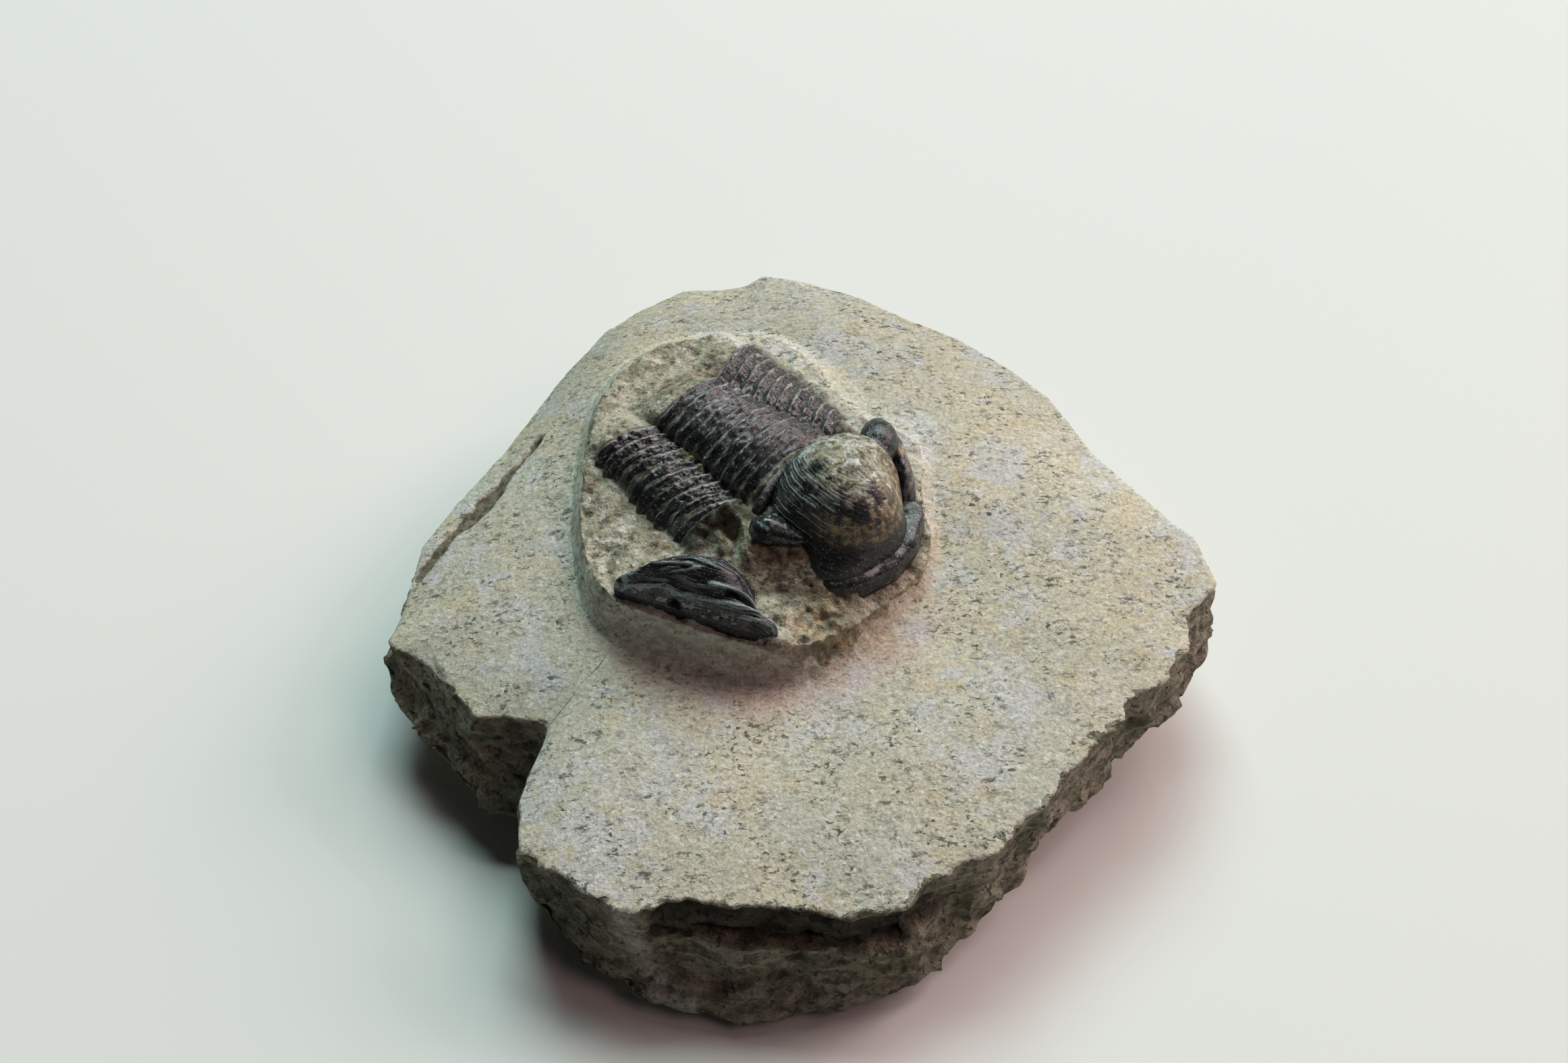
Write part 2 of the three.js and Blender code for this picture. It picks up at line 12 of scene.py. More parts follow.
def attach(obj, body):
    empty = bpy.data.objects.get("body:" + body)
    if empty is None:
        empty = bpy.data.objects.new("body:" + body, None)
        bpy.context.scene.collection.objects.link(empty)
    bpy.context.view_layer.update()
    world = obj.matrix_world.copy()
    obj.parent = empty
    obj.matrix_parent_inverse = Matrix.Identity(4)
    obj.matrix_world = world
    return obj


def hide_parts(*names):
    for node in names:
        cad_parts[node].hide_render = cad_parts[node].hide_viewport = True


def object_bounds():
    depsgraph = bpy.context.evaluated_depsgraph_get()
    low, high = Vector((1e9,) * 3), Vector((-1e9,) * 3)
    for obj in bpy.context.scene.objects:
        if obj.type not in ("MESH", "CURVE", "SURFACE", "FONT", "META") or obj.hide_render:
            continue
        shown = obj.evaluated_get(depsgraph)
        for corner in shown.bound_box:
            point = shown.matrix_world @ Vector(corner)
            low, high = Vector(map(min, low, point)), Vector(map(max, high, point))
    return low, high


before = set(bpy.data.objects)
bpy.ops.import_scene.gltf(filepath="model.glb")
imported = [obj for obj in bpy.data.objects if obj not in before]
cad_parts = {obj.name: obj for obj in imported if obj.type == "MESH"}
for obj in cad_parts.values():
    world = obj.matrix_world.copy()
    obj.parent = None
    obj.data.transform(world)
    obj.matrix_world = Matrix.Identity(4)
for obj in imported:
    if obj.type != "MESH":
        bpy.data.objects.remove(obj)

cad_low, cad_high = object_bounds()
MM = 0.001

# The places of the fossil and the pedestal, as in the CAD.
FOSSIL_AT = np.array([1.8, 2.3])
FOSSIL_TURN = math.radians(-44.5)
PEDESTAL_CENTRE = np.array([-3.0, 4.5])

# The block's outlines, anticlockwise seen from above: corners as x, y, z. The rim and the belt
# have more corners than the CAD's, for the chips along the broken edges.
RIM = [
    (25.8, -0.9, 10.0), (24.8, 2.7, 10.2), (23.4, 4.0, 10.3), (21.8, 6.0, 10.4), (19.0, 9.5, 10.5),
    (16.5, 14.4, 10.6), (14.2, 16.9, 10.6), (10.8, 19.9, 10.6), (6.8, 22.2, 10.6),
    (4.3, 24.0, 10.5), (0.0, 25.7, 10.5), (-2.5, 26.3, 10.4), (-3.6, 25.4, 10.3),
    (-5.5, 25.1, 10.2), (-8.0, 25.2, 10.0), (-10.9, 23.5, 9.8), (-13.2, 21.7, 9.6),
    (-16.0, 17.6, 9.2), (-19.2, 11.5, 8.8), (-22.0, 7.3, 8.4), (-24.1, 3.7, 8.0),
    (-24.9, -1.7, 7.6), (-25.5, -3.6, 7.5), (-22.8, -5.5, 7.8), (-21.0, -7.7, 8.0),
    (-19.5, -9.6, 8.1), (-17.5, -9.6, 8.3), (-15.3, -10.4, 8.6), (-15.0, -11.0, 8.6),
    (-15.6, -12.8, 8.4), (-16.5, -15.6, 8.0), (-16.1, -18.8, 7.9), (-14.0, -20.2, 7.9),
    (-10.8, -22.6, 7.7), (-8.3, -22.7, 7.9), (-7.7, -22.1, 8.0), (-1.8, -22.5, 8.1),
    (2.4, -23.2, 8.1), (5.9, -22.9, 8.3), (6.7, -21.6, 8.5), (7.7, -20.8, 8.6),
    (10.9, -19.4, 8.9), (12.0, -18.5, 9.0), (12.8, -17.3, 9.1), (14.2, -16.6, 9.2),
    (15.0, -15.2, 9.3), (17.6, -11.9, 9.5), (19.3, -10.9, 9.6), (19.4, -9.6, 9.7),
    (21.2, -8.6, 9.8), (22.5, -7.0, 9.9), (23.6, -5.8, 9.9), (23.7, -3.4, 10.0),
    (24.6, -2.2, 10.0),
]
BELT = [
    (26.2, 0.4, 8.0), (24.8, 3.2, 6.2), (21.2, 8.6, 5.2), (17.6, 14.4, 5.0), (12.0, 20.2, 5.0),
    (5.0, 24.2, 5.6), (-2.6, 25.8, 6.0), (-9.2, 25.0, 5.2), (-16.2, 18.4, 5.2),
    (-20.0, 11.8, 5.4), (-24.8, 3.6, 5.2), (-26.2, -3.5, 5.4), (-25.6, -5.2, 4.6),
    (-23.1, -9.1, 4.0), (-20.3, -11.9, 3.4), (-17.0, -13.6, 2.8), (-16.7, -17.9, 4.6),
    (-15.7, -19.7, 3.6), (-12.6, -22.7, 2.2), (-9.5, -24.7, 1.4), (-3.5, -26.2, 1.0),
    (0.4, -25.4, 1.0), (6.7, -24.2, 1.4), (8.2, -22.3, 1.8), (11.3, -19.7, 2.4),
    (14.3, -15.7, 3.2), (17.4, -12.1, 3.8), (20.9, -8.7, 4.2), (23.8, -5.8, 5.0),
    (25.6, -2.8, 5.8),
]
BASE = [
    (20.5, -1.0, 0), (19.5, 5.0, 0), (15.0, 11.5, 0), (9.0, 17.5, 0), (0.0, 21.5, 0),
    (-8.5, 20.5, 0), (-15.0, 13.5, 0), (-20.0, 4.0, 0), (-20.8, -4.0, 0), (-17.0, -9.5, 0),
    (-13.6, -14.0, 0), (-12.5, -19.5, 0), (-9.0, -23.0, 0), (-3.5, -24.6, 0), (5.5, -22.6, 0),
    (10.5, -16.5, 0), (16.5, -8.5, 0),
]
PEDESTAL_EDGE = [
    (8.0, 0.7, 12.0), (7.6, 4.4, 12.6), (7.2, 8.4, 12.9), (3.9, 10.8, 12.9), (0.9, 15.2, 12.7),
    (-2.6, 18.2, 12.4), (-9.1, 17.2, 12.5), (-12.6, 12.6, 12.6), (-13.6, 6.0, 12.2),
    (-13.3, 0.7, 12.0), (-11.7, -3.4, 12.6), (-9.0, -5.1, 12.8), (-5.4, -6.5, 12.7),
    (-1.5, -7.5, 12.5), (2.2, -6.2, 11.9), (6.6, -2.3, 11.8),
]
PEDESTAL_FOOT = [
    (8.8, 1.2, 11.0), (9.0, 5.0, 11.9), (8.6, 9.4, 12.3), (5.2, 12.2, 12.4), (2.0, 16.4, 12.1),
    (-2.4, 19.6, 11.6), (-9.8, 18.6, 11.4), (-13.8, 13.2, 11.3), (-14.5, 6.4, 11.0),
    (-14.2, 0.8, 10.4), (-12.9, -3.9, 9.9), (-10.2, -6.4, 9.8), (-5.7, -8.2, 9.7),
    (-1.0, -8.8, 9.7), (3.0, -7.2, 10.0), (7.6, -3.0, 10.4),
]
PLATEAU_HEIGHT = 12.8
FACE_DOME = 0.32
UNDERSIDE_RISE = 0.2
SIDE_WAIST = 0.35

# The thorax, as in the CAD. A pair of values is front, then rear.
SEGMENTS = 10
THORAX_FRONT = -3.1
THORAX_LENGTH = 9.3
SEGMENT_PITCH = THORAX_LENGTH / SEGMENTS
AXIS_HALF_WIDTH = (3.7, 2.7)
LEFT_HALF_WIDTH = (8.4, 7.1)
RIGHT_HALF_WIDTH = (6.7, 7.6)
CREST_HEIGHT = (16.4, 14.9)
FURROW_HEIGHT = (14.0, 13.5)
MARGIN_HEIGHT = (12.8, 12.6)
PLEURA_BULGE = 0.45
TIP_SETBACK = 1.6


def smooth(x):
    x = np.clip(x, 0, 1)
    return x * x * (3 - 2 * x)


def ramp(x, low, high):
    return smooth((x - low) / (high - low))


def window(x, start, full, falling, gone):
    """0 up to a start, 1 between two places, and 0 again further on."""
    return ramp(x, start, full) * (1 - ramp(x, falling, gone))


def hump(x, width):
    """1 at zero, fading to both sides over a width."""
    return np.exp(-((x / width) ** 2))


def mix(a, b, share):
    return a + (b - a) * share


def curve_between(p, t):
    """Where a smooth curve through four corners is, between the middle two."""
    return 0.5 * (
        2 * p[1]
        + (p[2] - p[0]) * t
        + (2 * p[0] - 5 * p[1] + 4 * p[2] - p[3]) * t**2
        + (3 * p[1] - p[0] - 3 * p[2] + p[3]) * t**3
    )


def unit(vectors):
    return vectors / np.maximum(np.linalg.norm(vectors, axis=-1, keepdims=True), 1e-9)


# Noise on a lattice of hashed gradients.
def hashed(cells, seed):
    x, y, z = (cells[..., k].astype(np.uint32) for k in range(3))
    h = x * np.uint32(0x8DA6B343) ^ y * np.uint32(0xD8163841) ^ z * np.uint32(0xCB1AB31F)
    h = h ^ np.uint32((seed * 0x9E3779B1) & 0xFFFFFFFF)
    h = (h ^ (h >> np.uint32(15))) * np.uint32(0x2C1B3C6D)
    h = (h ^ (h >> np.uint32(12))) * np.uint32(0x297A2D39)
    return (h ^ (h >> np.uint32(15))).astype(np.float64) / 2**32


def noise(points, size, seed):
    """Gradient noise, about -1 to 1, with features of a given size."""
    p = points / size + 1000.0
    cell = np.floor(p).astype(np.int64)
    f = p - cell
    fade = f * f * f * (f * (f * 6 - 15) + 10)
    total = np.zeros(len(p))
    for corner in np.ndindex(2, 2, 2):
        at = cell + np.array(corner)
        turn = hashed(at, seed) * 2 * math.pi
        rise = hashed(at, seed + 17) * 2 - 1
        flat = np.sqrt(1 - rise**2)
        away = f - np.array(corner)
        dot = away[:, 0] * flat * np.cos(turn) + away[:, 1] * flat * np.sin(turn) + away[:, 2] * rise
        weight = np.ones(len(p))
        for k in range(3):
            weight *= fade[:, k] if corner[k] else 1 - fade[:, k]
        total += dot * weight
    return total * 1.6


def layered(points, size, seed, layers=3, gain=0.5):
    total = np.zeros(len(points))
    for k in range(layers):
        total += noise(points, size / 2**k, seed + 31 * k) * gain**k
    return total


def nearest_cell(points, size, seed):
    """The distance to the nearest of scattered points, that point's offset, and its cell."""
    p = points / size + 1000.0
    cell = np.floor(p).astype(np.int64)
    best = np.full(len(p), 1e9)
    offset = np.zeros_like(p)
    owner = cell.copy()
    for step in np.ndindex(3, 3, 3):
        at = cell + np.array(step) - 1
        seedpoint = at + np.stack([hashed(at, seed + k) for k in range(3)], 1)
        away = p - seedpoint
        distance = (away**2).sum(1)
        closer = distance < best
        best[closer] = distance[closer]
        offset[closer] = away[closer]
        owner[closer] = at[closer]
    return np.sqrt(best) * size, offset * size, owner


def facets(points, size, seed, tilt=0.5):
    """Flat tilted chips, each with its own level: how a broken stone's surface steps."""
    _, offset, owner = nearest_cell(points, size, seed)
    lean = np.stack([hashed(owner, seed + 50 + k) * 2 - 1 for k in range(3)], 1)
    level = hashed(owner, seed + 60) * 2 - 1
    return (offset * lean).sum(1) * tilt / size + 0.35 * level


def to_fossil(x, y):
    dx, dy = x - FOSSIL_AT[0], y - FOSSIL_AT[1]
    c, s = math.cos(FOSSIL_TURN), math.sin(FOSSIL_TURN)
    return dx * c + dy * s, -dx * s + dy * c


def from_fossil(points):
    c, s = math.cos(FOSSIL_TURN), math.sin(FOSSIL_TURN)
    x, y, z = points[:, 0], points[:, 1], points[:, 2]
    return np.stack([FOSSIL_AT[0] + x * c - y * s, FOSSIL_AT[1] + x * s + y * c, z], 1)


# The thorax's surface: a share runs from its front to its rear, a lane across it, 0 on the crest,
# 1 in the furrow beside the axis and 2 at the margin, below 0 on the left.
def half_width(share, lane):
    return np.where(lane < 0, mix(*LEFT_HALF_WIDTH, share), mix(*RIGHT_HALF_WIDTH, share))


def setback(lane):
    return TIP_SETBACK * smooth((np.abs(lane) - 0.6) / 1.4)


def across_at(share, lane):
    axis = mix(*AXIS_HALF_WIDTH, share)
    side = np.abs(lane)
    out = np.maximum(side - 1, 0) * (half_width(share, lane) - axis)
    return np.sign(lane) * (np.minimum(side, 1) * axis + out)


def lane_at(share, across):
    axis = mix(*AXIS_HALF_WIDTH, share)
    side = np.abs(across)
    out = np.maximum(side - axis, 0) / (half_width(share, across) - axis)
    return np.sign(across) * (np.minimum(side / axis, 1) + out)


def thorax_height(share, lane):
    furrow = mix(*FURROW_HEIGHT, share)
    side = np.abs(lane)
    axial = furrow + (mix(*CREST_HEIGHT, share) - furrow) * np.sqrt(np.maximum(0, 1 - side**2))
    out = np.clip(side - 1, 0, 1)
    drop = furrow - mix(*MARGIN_HEIGHT, share)
    pleural = furrow + 4 * PLEURA_BULGE * out * (1 - out) - drop * out**2
    return np.where(side < 1, axial, pleural)


def thorax_place(a, t):
    """The share, lane and distance beyond the thorax of a place in the fossil's frame."""
    lane = lane_at(np.clip((THORAX_FRONT - a) / THORAX_LENGTH, 0, 1), t)
    back = THORAX_FRONT - a - setback(lane)
    share = np.clip(back / THORAX_LENGTH, 0, 1)
    return share, lane_at(share, t), back


# Making meshes.
def make_piece(name, points, faces, marks=None):
    """An object with smooth faces. The marks are values from 0 to 1 at its points, by name."""
    sizes = np.array([len(face) for face in faces])
    mesh = bpy.data.meshes.new(name)
    mesh.vertices.add(len(points))
    mesh.vertices.foreach_set("co", (points * MM).astype(np.float32).ravel())
    mesh.loops.add(int(sizes.sum()))
    mesh.loops.foreach_set("vertex_index", np.concatenate(faces).astype(np.int32))
    mesh.polygons.add(len(sizes))
    mesh.polygons.foreach_set("loop_start", (sizes.cumsum() - sizes).astype(np.int32))
    mesh.polygons.foreach_set("use_smooth", np.full(len(sizes), True))
    for key, values in (marks or {}).items():
        layer = mesh.attributes.new(key, "FLOAT", "POINT")
        layer.data.foreach_set("value", np.clip(values, 0, 1).astype(np.float32))
    mesh.update()
    mesh.validate()
    piece = bpy.data.objects.new(name, mesh)
    bpy.context.scene.collection.objects.link(piece)
    return piece


def finish_piece(piece, material, slot, *nodes):
    piece.data.materials.append(material)
    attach(piece, "root")
    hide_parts(*nodes)


def ring_faces(rings, count):
    """Quads between rings of points that each run round once, and fans to a pole at each end."""
    around = np.arange(count)
    after = (around + 1) % count
    start = np.arange(rings - 1)[:, None] * count
    quads = [start + around, start + count + around, start + count + after, start + after]
    end = (rings - 1) * count
    first = np.full(count, rings * count)
    fan_first = np.stack([first, around, after], -1)
    fan_last = np.stack([first + 1, end + after, end + around], -1)
    return [*np.stack(quads, -1).reshape(-1, 4), *fan_first, *fan_last]


# A mark holds 0 to 1, so a place is held as 0.5 plus its share of a span in millimetres.
MARK_SPAN = 4
CRACK_SPAN = 8
GRAIN_SPAN = 60

# How finely each piece is cut up.
ANGLES = 480
DETAIL = 1.0
FINENESS = 2
AXIS_STEPS, RIB_STEPS, SEGMENT_STEPS = 60 * FINENESS, 55 * FINENESS, 13 * FINENESS
CHEEK_STATIONS, CHEEK_STEPS = 120 * FINENESS, 36 * FINENESS
HEAD_CELL = 0.135


def crossing(corners, angles):
    """Where rays from the pedestal's centre cross an outline, with the outline's height there."""
    corners = np.array(corners, float)
    near = corners[:, :2] - PEDESTAL_CENTRE
    edge = np.roll(near, -1, 0) - near
    ray = np.stack([np.cos(angles), np.sin(angles)], 1)[:, None]
    turned = ray[..., 0] * edge[:, 1] - ray[..., 1] * edge[:, 0]
    distance = (near[:, 0] * edge[:, 1] - near[:, 1] * edge[:, 0]) / turned
    share = (near[:, 0] * ray[..., 1] - near[:, 1] * ray[..., 0]) / turned
    miss = np.where(distance > 0, np.maximum(np.maximum(-share, share - 1), 0), np.inf)
    pick = miss.argmin(1)
    row = np.arange(len(angles))
    height = mix(corners[pick, 2], np.roll(corners[:, 2], -1)[pick], share[row, pick])
    flat = PEDESTAL_CENTRE + ray[:, 0] * distance[row, pick][:, None]
    return np.column_stack([flat, height])


def smooth_loop(corners, steps=12):
    """A closed curve through its corners."""
    p = [np.roll(np.array(corners, float), k, 0)[:, None] for k in (1, 0, -1, -2)]
    return curve_between(p, (np.arange(steps) / steps)[None, :, None]).reshape(-1, 3)


def distance_to_line(x, y, line):
    """The distance in plan to a chain of points, and how far along the chain that is, 0 to 1."""
    line = np.array(line, float)[:, :2]
    best = np.full(len(x), 1e9)
    along = np.zeros(len(x))
    for k in range(len(line) - 1):
        run = line[k + 1] - line[k]
        share = np.clip(((x - line[k, 0]) * run[0] + (y - line[k, 1]) * run[1]) / (run @ run), 0, 1)
        d = np.hypot(x - line[k, 0] - share * run[0], y - line[k, 1] - share * run[1])
        closer = d < best
        best[closer] = d[closer]
        along[closer] = ((k + share) / (len(line) - 1))[closer]
    return best, along


def third_value(line, along):
    """The third value of a chain's corners, at shares of the way along it."""
    return np.interp(along * (len(line) - 1), range(len(line)), [corner[2] for corner in line])


def near_line(x, y, line, width):
    return hump(distance_to_line(x, y, line)[0], width)


def spot(x, y, at, radius):
    """1 at a place, fading to 0 at a radius."""
    return smooth(1 - np.hypot(x - at[0], y - at[1]) / radius)


def spots(x, y, rows):
    """Spots added up, each given as x, y, radius and strength."""
    return sum(strength * spot(x, y, at, radius) for *at, radius, strength in rows)


# A long bite along the left edge, as places and half widths, a hairline crack from end to end, and
# a pale seam that stands out of the broken front side.
RECESS = [
    (-17.1, 11.0, 0.35), (-18.0, 9.8, 0.30), (-18.9, 8.5, 0.24), (-19.4, 7.5, 0.45), (-20.4, 6.2, 0.75),
    (-21.3, 5.0, 0.65), (-22.2, 4.2, 0.34), (-22.8, 3.2, 0.40), (-23.6, 2.0, 0.42), (-24.2, 1.1, 0.25),
]
RECESS_DEPTH = 0.45
CRACK = [(-10.8, -4.9), (-15.0, -10.7)]
CRACK_LENGTH = 7.2
SEAM_RIDGE = [(-10.8, -22.6), (-9.3, -23.6), (-8.7, -24.3), (-7.1, -25.3), (-6.2, -25.4)]
# In the fossil's frame: a curved ridge of rock left beside the eye, the dark hollow behind it, and
# an olive ridge from the ribs to the left eye.
MATRIX_HOOK = [(-3.5, -5.3), (-2.6, -5.2), (-1.7, -5.7), (-0.9, -6.4), (-0.4, -6.6)]
CRESCENT = [(-3.1, -5.9), (-2.5, -5.8), (-2.0, -6.2), (-1.8, -6.8)]
OLIVE_RIDGE = [(-4.1, -3.6), (-3.6, -4.4), (-2.9, -4.9), (-2.1, -5.1)]
# The left cheek's outer edge, as a straight line.
CHEEK_EDGE_AT = (-4.6, -13.3)
CHEEK_EDGE_SLOPE = 0.452
# Spots of rock and colour as places, radius and strength. The first three are in the fossil's frame.
MOUNDS = [(-2.6, -6.4, 2.6, 0.9), (2.8, -7.8, 2.2, 0.7)]
KNOBS = [(-2.9, -6.7, 0.9, 0.4), (-3.5, -5.3, 0.8, 0.5)]
DARK_BED = [(-3.1, 5.0, 2.2, 1.4)]
PALE_SPOTS = [(16.4, 10.3, 3.2, 0.7), (1.7, -9.9, 2.6, 0.45), (-2.5, -9.3, 2.0, 0.6)]
WALL_STAINS = [(2.4, -5.6, 3.6, 1.0), (8.2, -0.6, 3.2, 0.45)]
TOP_STAINS = [(1.3, -5.7, 2.8, 0.9), (7.0, -2.5, 3.0, 0.27)]
RIM_STAINS = [(10.6, -15.5, 0.9, 0.9)]
BROWN_SPOTS = [(-5.9, 14.0, 2.6, 0.8), (-8.6, 12.9, 2.0, 0.7), (-8.9, -0.2, 1.2, 0.8)]
# The pinkish spot on the wall's front, and the spots in the notch and at the front-left corner, are
# painted shade.
WALL_PAINTED_SHADOW = [(-1.6, -7.2, 3.0, 1.6)]
OCHRE_ROCK = [(1.6, -6.2, 4.0, 1.0)]
NOTCH_SHADE = [(-16.5, -11.5, 4.5, 0.4)]
CORNER_SHADE = [(-13.0, -20.0, 6.0, 0.45)]


def bed(points):
    """The pedestal's top, raised between the segments of the thorax and behind it."""
    a, t = to_fossil(points[:, 0], points[:, 1])
    share, lane, back = thorax_place(a, t)
    beyond = np.maximum(np.maximum(-3 * back, back - THORAX_LENGTH), 0)
    side = np.abs(lane)
    raised = thorax_height(share, lane) - 0.2 - 0.5 * ramp(side, 1.75, 2.05) - points[:, 2]
    within = 1 - smooth(2.5 * (side - 2))
    height = points[:, 2] + np.maximum(0, raised) * (1 - smooth(beyond / 4)) * within
    # A low bank round the tips of the segments, mounds beside the left eye and in front of it, and
    # a lower strip outside the left cheek. The sloping patch below the eye is joined to all that.
    bank = hump(side - 2.25, 0.25) * window(back, -1, 1, 9, 11)
    height += 0.25 * bank * np.where(lane < 0, 1 + 1.2 * noise(points, 1.3, 22), 0.3)
    height += spots(a, t, MOUNDS) - 0.35 * outside_cheek(a, t)
    height = -joined(-height, -skirt_height(a, t), 0.3)
    height += 0.45 * near_line(a, t, MATRIX_HOOK, 0.28) - 0.35 * near_line(a, t, CRESCENT, 0.22)
    height += 0.4 * near_line(a, t, OLIVE_RIDGE, 0.35) + 0.4 * buried_rib(lane, back)
    return np.column_stack([points[:, :2], height + spots(a, t, KNOBS)])


def buried_rib(lane, back):
    """1 on the dark strip in front of the left ribs, where one more is half hidden in the rock."""
    return window(-lane, 1.0, 1.15, 1.85, 2.0) * window(back, -1.5, -1.0, 0.1, 0.3)


def outside_cheek(a, t):
    """1 on the narrow strip of rock between the left cheek's outer edge and the pedestal's edge."""
    edge = CHEEK_EDGE_AT[1] + CHEEK_EDGE_SLOPE * (a - CHEEK_EDGE_AT[0])
    beyond = (edge - t) / 1.1
    return ramp(beyond, -0.4, 0.3) * window(a, -6.0, -4.8, 3.4, 4.4)


def skirt_height(a, t):
    """The sloping patch of shell and rock below the left eye, which ends at the front border."""
    slope = 14.3 - 0.38 * (a - 0.3) + 0.46 * (t + 5.0)
    return slope - 0.9 * np.maximum(0, -0.8 - a) - 0.6 * np.maximum(0, a - 4.4) - 9 * ramp(t, -3.2, 0.0)


def stone_rings(angles):
    """The stone's outer surface as rings from its top to its base, with what each ring is part of."""
    edge = crossing(smooth_loop(PEDESTAL_EDGE), angles)
    foot = crossing(smooth_loop(PEDESTAL_FOOT), angles)
    rim, belt, base = (crossing(loop, angles) for loop in (RIM, BELT, BASE))
    centre = np.array([*PEDESTAL_CENTRE, PLATEAU_HEIGHT])
    rings, parts = [], []

    def add(name, count, make, first=0.0, last=1.0):
        for share in np.linspace(first, last, max(3, round(count * DETAIL))):
            rings.append(make(share))
            parts.append((name, share))

    add("top", 74, lambda s: bed(mix(centre, edge, s)), 0.012)
    add("wall", 22, lambda s: wall_ring(edge, foot, s), 0.05)
    add("face", 46, lambda s: face_ring(foot, rim, s), 0.02)
    add("side", 36, lambda s: mix(rim, belt, s), 0.028)
    add("under", 16, lambda s: under_ring(belt, base, s), 0.06)
    rings.append(mix(base, np.array([*PEDESTAL_CENTRE, 0.0]), 0.5))
    parts.append(("foot", 1.0))
    return np.array(rings), parts


def behind_fossil(x, y):
    """1 behind and at the left of the fossil, where the pedestal's edge is round, and 0 in front."""
    return ramp(0.6 * (y - 1.0) - (x + 8.0), -3, 3)


def wall_ring(edge, foot, share):
    """A steep wall with a hollow foot in front, and a gentler, rounder one behind."""
    round_edge = behind_fossil(edge[:, 0], edge[:, 1])
    out = mix(share**1.7, share, round_edge)
    down = mix(1 - (1 - share) ** 1.7, smooth(share), round_edge)
    flat = edge[:, :2] + (foot[:, :2] - edge[:, :2]) * out[:, None]
    return np.column_stack([flat, mix(edge[:, 2], foot[:, 2], down)])


def face_ring(foot, rim, share):
    ring = mix(foot, rim, share)
    ring[:, 2] += FACE_DOME * math.sin(math.pi * share)
    return ring


def under_ring(belt, base, share):
    ring = mix(belt, base, share)
    ring[:, 2] += UNDERSIDE_RISE * math.sin(math.pi * share) ** 2
    return ring


def ring_normals(rings):
    around = np.roll(rings, -1, 1) - np.roll(rings, 1, 1)
    return unit(np.cross(np.gradient(rings, axis=0), around))


class StonePoints:
    """The stone's smooth points, with what the relief and the marks need to know of each."""

    def __init__(self, rings, parts):
        self.points = rings.reshape(-1, 3)
        names = np.repeat([name for name, _ in parts], ANGLES)
        self.share = np.repeat([share for _, share in parts], ANGLES)
        for name in ("top", "wall", "face", "side", "under", "foot"):
            setattr(self, name, (names == name).astype(float))
        x, y = self.points[:, 0], self.points[:, 1]
        self.x, self.y = x, y
        self.a, self.t = to_fossil(x, y)
        _, self.lane, self.back = thorax_place(self.a, self.t)
        in_lanes = 1 - ramp(np.abs(self.lane), 1.9, 2.1)
        self.in_thorax = in_lanes * window(self.back, -0.3, 0.3, 9.2, 9.8)
        self.behind = behind_fossil(x, y)
        self.on_skirt = ramp(skirt_height(self.a, self.t), 12.7, 13.2) * ramp(-self.t, 3.8, 4.2)
        self.cheek_strip = outside_cheek(self.a, self.t)
        self.ochre_rock = spots(x, y, OCHRE_ROCK)
        ragged = self.share + 0.25 * noise(self.points, 1.2, 23) - 0.4 * self.ochre_rock
        self.raw_wall = 1 - ramp(ragged, 0.0, 0.4)
        self.raw_side = self.side + self.under
        self.round_rim = ramp(y, -5.0, -1.0)
        # The broken front side: how far down it a place is, and the hollow under its lip.
        self.front = ramp(-y, 19.5, 22.0) * (1 - ramp(x, 6.0, 9.0))
        self.drop = self.share + 0.05 * noise(self.points, 2.0, 20) - 0.008 * (x + 1)
        self.under_lip = window(self.drop, 0.0, 0.07, 0.31, 0.37)
        self.groove, along = distance_to_line(x, y, RECESS)
        self.groove_width = third_value(RECESS, along) * (1 + 0.35 * noise(self.points, 0.8, 13))


def stone_push(stone):
    """How far each point moves outward, for the chips, strokes, grain and pits of each part."""
    p, x, share = stone.points, stone.x, stone.share
    rough = 0.27 * layered(p, 1.9, 1, 3) + 0.11 * layered(p, 0.55, 2, 2)
    rough *= mix(1.0, 0.55, stone.behind) * mix(1.0, 0.45, stone.on_skirt)
    pits = -0.25 * (1 - ramp(nearest_cell(p, 1.0, 3)[0], 0.1, 0.4)) * (noise(p, 3.0, 4) > -0.1)
    grain = 0.025 * layered(p, 0.45, 5, 2)
    swell = 0.10 * noise(p, 7.0, 6) + 0.05 * noise(p, 2.5, 7)
    strokes = 0.05 * noise(p * (1, 1, 0.35), 0.6, 8)
    chips = 0.50 * facets(p, 5.0, 9, 0.9) + 0.30 * facets(p, 1.9, 10, 0.9)
    chips += 0.14 * layered(p, 0.8, 11, 3) + 0.20 * noise(p * (1, 1, 3.0), 2.4, 12)
    layers = 0.14 * noise(p * (0.3, 0.3, 1.6), 0.8, 18) * ramp(share, 0.05, 0.15)

    push = stone.top * (rough * (1 + 1.3 * stone.ochre_rock) + pits) * (1 - 0.85 * stone.in_thorax)
    push += stone.wall * mix(strokes + grain, rough + 0.5 * pits, stone.raw_wall)
    push += stone.face * (grain + swell * ramp(share, 0.0, 0.15) * (1 - 0.7 * ramp(share, 0.93, 1.0)))
    push -= stone.face * RECESS_DEPTH * (1 - ramp(stone.groove / stone.groove_width, 0.5, 1.2))
    ledge = 0.45 * window(stone.drop, 0.33, 0.38, 0.40, 0.75) - stone.under_lip
    ledge *= stone.front * ramp(x, -9.5, -7.5) * (0.85 + 0.4 * noise(p, 2.5, 19))
    waist = SIDE_WAIST * np.sin(math.pi * share) ** 2
    push += stone.side * (chips * ramp(share, 0.02, 0.40) + layers + ledge - waist)
    return push + stone.under * chips * (1 - ramp(share, 0.55, 1.0))


